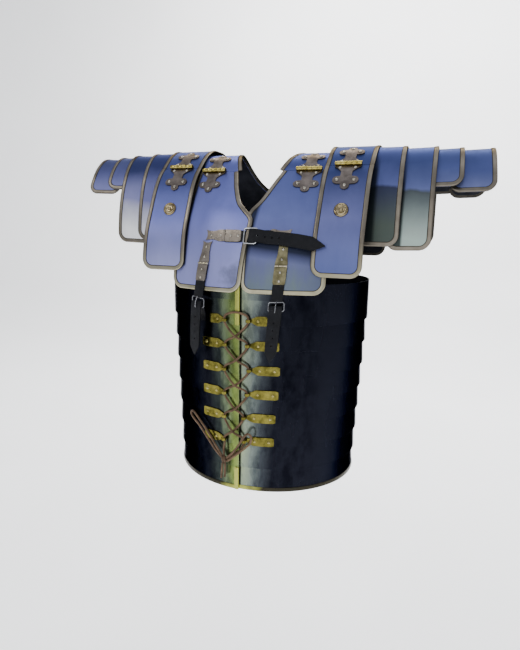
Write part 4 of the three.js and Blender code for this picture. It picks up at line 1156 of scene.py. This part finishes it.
hinge_leaf("guard_leaf_lower_right", guard_surface, seam, -1, -x, "guard_flap",
           ["guard_hinge_right_lower"], LEAF["split_start"])
barrel("guard_barrel_right", guard_surface, seam, -x, [(-23, -KNUCKLE_END), (KNUCKLE_END, 23)], "root")
barrel("guard_knuckle_right", guard_surface, seam, -x, [(-HINGE["middle"], HINGE["middle"])], "guard_flap")
hinge_tab("guard_tab_right_inner", 1, KNUCKLE_END, HINGE["half"], "root")
hinge_tab("guard_tab_right_outer", 1, -HINGE["half"], -KNUCKLE_END, "root")
hinge_tab("guard_tab_right_lower", -1, -HINGE["middle"], HINGE["middle"], "guard_flap")

# Strap fittings
# Strips of brass in two hinged leaves: one leaf is riveted to a breastplate, the other to
# a short black strap that holds a buckle. The one on the left plate has a single leaf.
FITTING = {"sheet": 1.3, "rivet": 2.4, "rivet_height": 0.6, "barrel": 1.9, "half": 10.4, "gap": 0.25,
           "notch": 3.0, "anchor_notch": 2, "upper_out": 1.95, "lower_out": 3.3}
CHEST_Z = -148.5
CHEST_UPPER = [  # distance from the middle, height out of the plate, half width, shift
    (-70, 1.65, 9.5, 0), (-64, 1.65, 8, 0), (-54, 1.65, 7.6, 0), (-44, 1.65, 10, 0), (-35, 1.65, 10.5, 0),
]
CHEST_LOWER = [
    (-31, 2.6, 10.4, 0), (-20, 2.6, 10.4, 0), (-8, 2.8, 10.2, 0), (-3.4, 2.9, 9.4, 0), (-2, 2.9, 7, 0),
]
CHEST_ANCHOR = [
    (82, 1.65, 11.5, 2), (74, 1.65, 9, 2), (62, 1.65, 8.8, 2), (51, 1.65, 11, 2), (45, 1.65, 8.5, 2),
]
CHEST_RIVETS = {"upper": (-58.5, -40), "lower": (-21, -7.5), "anchor": (54, 70)}
CHEST_HINGE = {"x": -33, "out": 2.6}
DROP_X = {"right": (-66, -75, -0.09), "left": (71, 67, -0.07)}  # top, foot and lean below the foot
DROP_TOP, DROP_FOOT = -165, -227
DROP_UPPER = [(-158, 9.6), (-164, 7.8), (-178, 8.2), (-190, 10.3), (-194, 10.4)]  # height, half width
DROP_LOWER = [(-198, 10.3), (-206, 10.3), (-222, 10.3), (-225.5, 9.6), (-227, 8)]
DROP_RIVETS = {"upper": (-168.5, -185.5), "lower": (-206.5, -221)}
DROP_HINGE = {"z": -196, "out": 2.9}


def across_chest(side):
    """Places on a breastplate by distance from the middle, rise over the chest line and height out"""
    return lambda x, up, out: lifted(breast_surface(side), chest_s + up, x, out)


def down_plate(side):
    """Places on a breastplate by height, distance from the middle and height out of it"""
    return lambda z, x, out: lifted(breast_surface(side), body_line.at_height(z), x, out)


def drop_x(word, z):
    """Middle of a drop fitting and its strap at a height"""
    top, foot, lean = DROP_X[word]
    t = (z - DROP_TOP) / (DROP_FOOT - DROP_TOP)
    return top + (foot - top) * t if t < 1 else foot + lean * (DROP_FOOT - z)


def laid_band(rows, to_space, columns=9, steps=5, notch=0.0):
    """Strip through rows of (distance along, height out, half width, shift), its first end notched"""
    table, reach = [(0.0, *rows[0])], 0.0
    for before, row in zip(rows, rows[1:]):
        reach += math.hypot(row[0] - before[0], row[1] - before[1])
        table.append((reach, *row))
    places = []
    for a, b in zip(table, table[1:]):
        for k in range(steps):
            place = a[0] + (b[0] - a[0]) * k / steps
            places.append([looked_up(table, column, place) for column in (1, 2, 3, 4)])
    places.append(rows[-1])
    way = math.copysign(1, rows[1][0] - rows[0][0])

    def point(i, j):
        u, out, half, shift = places[i]
        t = 2 * j / (columns - 1) - 1
        if i < steps:
            u += way * notch * (1 - t * t) * (1 - i / steps)
        return to_space(u, shift + half * t, out)

    return laid_sheet(len(places), columns, point)


def fitting_leaf(name, rows, to_space, notch, metal, nodes, rivets):
    """One leaf of a fitting, with its rivets at (distance along, shift) places"""
    leaf = finished(name, laid_band(rows, to_space, notch=notch), metal, nodes)
    sheet_thickness(leaf, FITTING["sheet"], rounding=0.3, even=False)
    top = rows[1][1] + FITTING["sheet"] / 2
    places = []
    for u, shift in rivets:
        foot = to_space(u, shift, top)
        places.append((foot, (to_space(u, shift, top + 1) - foot).normalized()))
    add_rivets(fitting_rivets, places, FITTING["rivet"], FITTING["rivet_height"])


def small_barrel(name, to_space, u, shift, out, metal):
    """Three knuckles across a fitting, between its two leaves"""
    bm = bmesh.new()
    a, b = to_space(u, shift - FITTING["half"], out), to_space(u, shift + FITTING["half"], out)
    turned = (b - a).to_track_quat("Z", "Y").to_matrix().to_4x4()
    knuckle = (b - a).length / 3 - FITTING["gap"]
    for k in range(3):
        add_drum(bm, a.lerp(b, (k + 0.5) / 3), turned, FITTING["barrel"], knuckle, segments=18,
                 rounding=0.4)
    finished(name, bm, metal, [])


fitting_brass = small_metal("fitting_brass", (0.17, 0.145, 0.12), (0.29, 0.255, 0.215), (0.24, 0.38))
olive_brass = small_metal("olive_brass", (0.075, 0.068, 0.036), (0.165, 0.15, 0.088), (0.24, 0.38))
joint_brass = small_metal("joint_brass", (0.32, 0.28, 0.19), (0.5, 0.45, 0.33), (0.16, 0.28))
chest_s = body_line.at_height(CHEST_Z)
fitting_rivets = bmesh.new()
for part, rows, side, nodes, notch in (
        ("upper", CHEST_UPPER, -1, ["chest_fitting_right"], FITTING["notch"]),
        ("lower", CHEST_LOWER, -1, [], 0),
        ("anchor", CHEST_ANCHOR, 1, ["chest_fitting_left"], FITTING["anchor_notch"])):
    fitting_leaf(f"chest_leaf_{part}", rows, across_chest(side), notch, fitting_brass, nodes,
                 [(x, 0) for x in CHEST_RIVETS[part]])
small_barrel("chest_barrel", across_chest(-1), CHEST_HINGE["x"], 0, CHEST_HINGE["out"], fitting_brass)
for word, side in SIDES:
    space = down_plate(side)
    metal = fitting_brass if side < 0 else olive_brass
    for part, table, out, nodes, notch in (
            ("upper", DROP_UPPER, FITTING["upper_out"], [f"drop_fitting_{word}"], FITTING["notch"]),
            ("lower", DROP_LOWER, FITTING["lower_out"], [], 0)):
        rows = [(z, out, half, drop_x(word, z)) for z, half in table]
        fitting_leaf(f"drop_leaf_{part}_{word}", rows, space, notch, metal, nodes,
                     [(z, drop_x(word, z)) for z in DROP_RIVETS[part]])
    small_barrel(f"drop_barrel_{word}", space, DROP_HINGE["z"], drop_x(word, DROP_HINGE["z"]),
                 DROP_HINGE["out"], joint_brass)
finished("fitting_rivets", fitting_rivets, rivet_metal, [])

# Buckles and straps
# Plain buckles of round steel rod on short black straps, and black leather straps with
# pointed ends: one across the chest from the left plate, and one up from the first hoop
# on each side. Each goes round the far bar of its buckle, and its free end hangs over it.
BUCKLE = {"rod": 2.4, "tongue": 2.0, "half": 12.8, "corner": 3.2, "corner_steps": 5}
CHEST_BUCKLE = {"from": 3.5, "to": 25.5, "out": 3.9}
CHEST_TAB = [(-31, 1.7, 10.2, -0.9), (-8, 1.9, 10.2, -0.9), (-1, 2.4, 9.6, -0.6), (3, 2.9, 9, 0)]
CHEST_STRAP = [  # distance from the middle, height out of the plate, half width, shift
    (52, 4.2, 9.6, -1), (44, 4.2, 10.5, -1), (30, 4.2, 10.5, -1), (15.5, 4.2, 10.5, -1),
    (13.5, 5, 10.5, -1), (12.7, 7, 10.5, -1), (13.5, 9, 10.5, -1), (15.5, 9.8, 10.5, -1),
    (27.5, 9.8, 10.5, -1.1), (44, 7.8, 10.5, -3.5), (62, 7.8, 10.5, -4.5), (90, 11, 11, -8.5),
    (112, 14.6, 11, -13.2), (116, 15.2, 10.4, -13.8), (134, 18.4, 0.8, -17.5),
]
CHEST_HOLES = [(27, -1.1, 9.8), (39.5, -2.9, 8.3), (51.5, -4.1, 7.6), (63.5, -4.6, 7.9)]
DROP_BUCKLE = {"bar": -255.5, "foot": -270.5, "out": 3.3, "tilt": {"right": -0.16, "left": 0.05}}
DROP_TAB = [(-199, 1.7), (-215, 1.8), (-228, 2.4), (-242, 3.1), (-251, 3.3), (-255.5, 3.3)]  # height, out
DROP_TAB_HALF = 9.6
DROP_TAB_SHIFT = 1.2
DROP_STRAP = [  # height, distance out, half width
    (-296, -10.6, 10.5), (-285, -9.2, 10.5), (-276, -4.4, 10.5), (-267, 0.3, 10.5), (-263.6, 1.2, 10.5),
    (-262.2, 3.3, 10.5), (-263.6, 5.4, 10.5), (-267, 6.4, 10.5), (-300, 3.4, 10.5), (-338, -1, 10.2),
    (-342, -1.5, 9.8), (-358, -3.6, 1),
]
DROP_HOLES = [(-290, 4.3), (-303, 3.1), (-316, 1.7), (-329, 0.2)]
TONGUE = [(-254, 3.3), (-254.6, 5.2), (-257, 6.3), (-263, 8.8), (-270, 8.6), (-272.5, 7.9)]
LEATHER = {"strap": 2.4, "chest_tab": 1.6, "drop_tab": 2.0, "hole": 1.6}


def buckle(name, to_space, first, last, out, shift, metal, tilt=0.0, nodes=()):
    """Rounded frame of steel rod between two bars, across a strap's middle"""
    half, radius = BUCKLE["half"], BUCKLE["corner"]
    way = math.copysign(1, last - first)
    middle = (first + last) / 2
    ring = []
    for quarter, (u, x) in enumerate(((last, half), (first, half), (first, -half), (last, -half))):
        centre_u = u - math.copysign(radius, u - middle)
        centre_x = x - math.copysign(radius, x)
        for k in range(BUCKLE["corner_steps"] + 1):
            angle = math.radians(90 * (quarter + k / BUCKLE["corner_steps"]))
            turned_u = centre_u + way * radius * math.cos(angle)
            turned_x = centre_x + radius * math.sin(angle)
            ring.append(to_space(turned_u + tilt * turned_x, shift + turned_x, out))
    frame_ring = cord_curve(name, ring, BUCKLE["rod"], metal, cyclic=True)
    if nodes:
        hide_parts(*nodes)


def strap(name, rows, to_space, nodes, holes=(), thickness=LEATHER["strap"]):
    """Leather strap, with round holes punched at (distance along, shift, height out) places"""
    bm = laid_band(rows, to_space, columns=19, steps=12)
    for hole in holes:
        centre = to_space(*hole)
        inside = [f for f in bm.faces if (f.calc_center_median() - centre).length < LEATHER["hole"]]
        bmesh.ops.delete(bm, geom=inside, context="FACES")
        for vertex in bm.verts:
            away = vertex.co - centre
            if vertex.is_boundary and away.length < 2.2 * LEATHER["hole"]:
                vertex.co = centre + away.normalized() * LEATHER["hole"]
    piece = finished(name, bm, black_leather, nodes)
    sheet_thickness(piece, thickness, rounding=0.5, even=False)


buckle_steel = small_metal("buckle_steel", (0.32, 0.325, 0.34), (0.58, 0.59, 0.61), (0.12, 0.22))
# A darker copy of the buckle steel: painted shade on the drop buckles' rings and tongues
shaded_buckle_steel = small_metal("shaded_buckle_steel", (0.13, 0.133, 0.14), (0.27, 0.275, 0.29), (0.14, 0.24))
black_leather = leather_finish("black_leather", (0.0020, 0.0024, 0.0034), (0.006, 0.0065, 0.009),
                               (0.42, 0.6))
space = across_chest(-1)
buckle("chest_buckle", space, CHEST_BUCKLE["from"], CHEST_BUCKLE["to"], CHEST_BUCKLE["out"], 0,
       buckle_steel)
strap("chest_tab", CHEST_TAB, space, [], thickness=LEATHER["chest_tab"])
strap("chest_strap_leather", CHEST_STRAP, across_chest(1), ["chest_strap"], CHEST_HOLES)
for word, side in SIDES:
    space = down_plate(side)
    buckle(f"drop_buckle_ring_{word}", space, DROP_BUCKLE["bar"], DROP_BUCKLE["foot"], DROP_BUCKLE["out"],
           drop_x(word, DROP_BUCKLE["bar"]), shaded_buckle_steel, DROP_BUCKLE["tilt"][word], [f"drop_buckle_{word}"])
    tab_rows = []
    for z, out in DROP_TAB:
        shift = DROP_TAB_SHIFT if z > DROP_FOOT else 0
        tab_rows.append((z, out, DROP_TAB_HALF, drop_x(word, z) + shift))
    strap(f"drop_tab_{word}", tab_rows, space, [], thickness=LEATHER["drop_tab"])
    strap(f"drop_strap_leather_{word}", [(z, out, half, drop_x(word, z)) for z, out, half in DROP_STRAP],
          space, [f"drop_strap_{word}"], [(z, drop_x(word, z), out) for z, out in DROP_HOLES])
    tongue = [space(z, drop_x(word, z), out) for z, out in TONGUE]
    cord_curve(f"buckle_tongue_{word}", smooth_points(tongue, 4), BUCKLE["tongue"], shaded_buckle_steel)

# Floor, backdrop and lights
# A plain pale floor that turns up behind into a plain pale wall. Two large soft boxes and
# a smaller key light are on the armour, and one more light is on the wall.
FLOOR = {"z": -1.43, "half": 9, "front": -4}
BACKDROP = [(3.0, 0), (3.6, 0.12), (4.0, 0.45), (4.2, 1.0), (4.2, 6)]  # metres back, over the floor
LIGHTS = [  # place and target in metres, size, power in watts, colour
    {"name": "top_box", "at": (0.2, 0.6, 3.4), "to": (0, 0, -0.1), "size": (5.0, 4.6), "power": 60,
     "colour": (0.88, 0.92, 1.0)},
    {"name": "front_box", "at": (0.3, -4.4, 0.6), "to": (0, 0, -0.3), "size": (3.6, 3.2), "power": 45,
     "colour": (1.0, 0.99, 0.96)},
    {"name": "key", "at": (-1.8, -1.9, 1.9), "to": (0, -0.05, -0.2), "size": (0.6, 0.6), "power": 13,
     "colour": (1.0, 0.97, 0.92)},
    {"name": "back_wash", "at": (0.0, 2.2, 2.6), "to": (0, 3.6, -0.8), "size": (4.0, 1.2), "power": 300,
     "colour": (1, 1, 1)},
]
floor_bm = bmesh.new()
front_verts = [floor_bm.verts.new((x, FLOOR["front"], FLOOR["z"])) for x in (-FLOOR["half"], FLOOR["half"])]
last_edges = [floor_bm.edges.new(front_verts)]
for y, height in BACKDROP:
    grown = bmesh.ops.extrude_edge_only(floor_bm, edges=last_edges)["geom"]
    new_verts = [part for part in grown if isinstance(part, bmesh.types.BMVert)]
    for vertex in new_verts:
        vertex.co.y = y
        vertex.co.z = FLOOR["z"] + height
    last_edges = [part for part in grown if isinstance(part, bmesh.types.BMEdge)
                  and part.verts[0] in new_verts and part.verts[1] in new_verts]
floor_mesh = bpy.data.meshes.new("floor")
floor_bm.to_mesh(floor_mesh)
floor_bm.free()
floor_mesh.shade_smooth()
floor = bpy.data.objects.new("floor", floor_mesh)
bpy.context.collection.objects.link(floor)
paper = Finish("paper", 0)
paper.colour(paper.ramp(paper.noise(2, 2), [(0.3, (0.86, 0.86, 0.86)), (0.7, (0.90, 0.90, 0.90))]))
paper.shader.inputs["Roughness"].default_value = 0.9
paper.shader.inputs["Emission Color"].default_value = (1, 1, 1, 1)
paper.shader.inputs["Emission Strength"].default_value = 0.55
floor_mesh.materials.append(paper.material)

for light in LIGHTS:
    data = bpy.data.lights.new(light["name"], "AREA")
    data.shape = "RECTANGLE"
    data.size, data.size_y = light["size"]
    data.energy = light["power"]
    data.color = light["colour"]
    lamp = bpy.data.objects.new(light["name"], data)
    lamp.location = light["at"]
    aim = Vector(light["to"]) - Vector(light["at"])
    lamp.rotation_euler = aim.to_track_quat("-Z", "Y").to_euler()
    bpy.context.collection.objects.link(lamp)
world = bpy.data.worlds.new("studio")
world.use_nodes = True
world.node_tree.nodes["Background"].inputs["Color"].default_value = (0.82, 0.85, 0.92, 1)
world.node_tree.nodes["Background"].inputs["Strength"].default_value = 0.85
bpy.context.scene.world = world
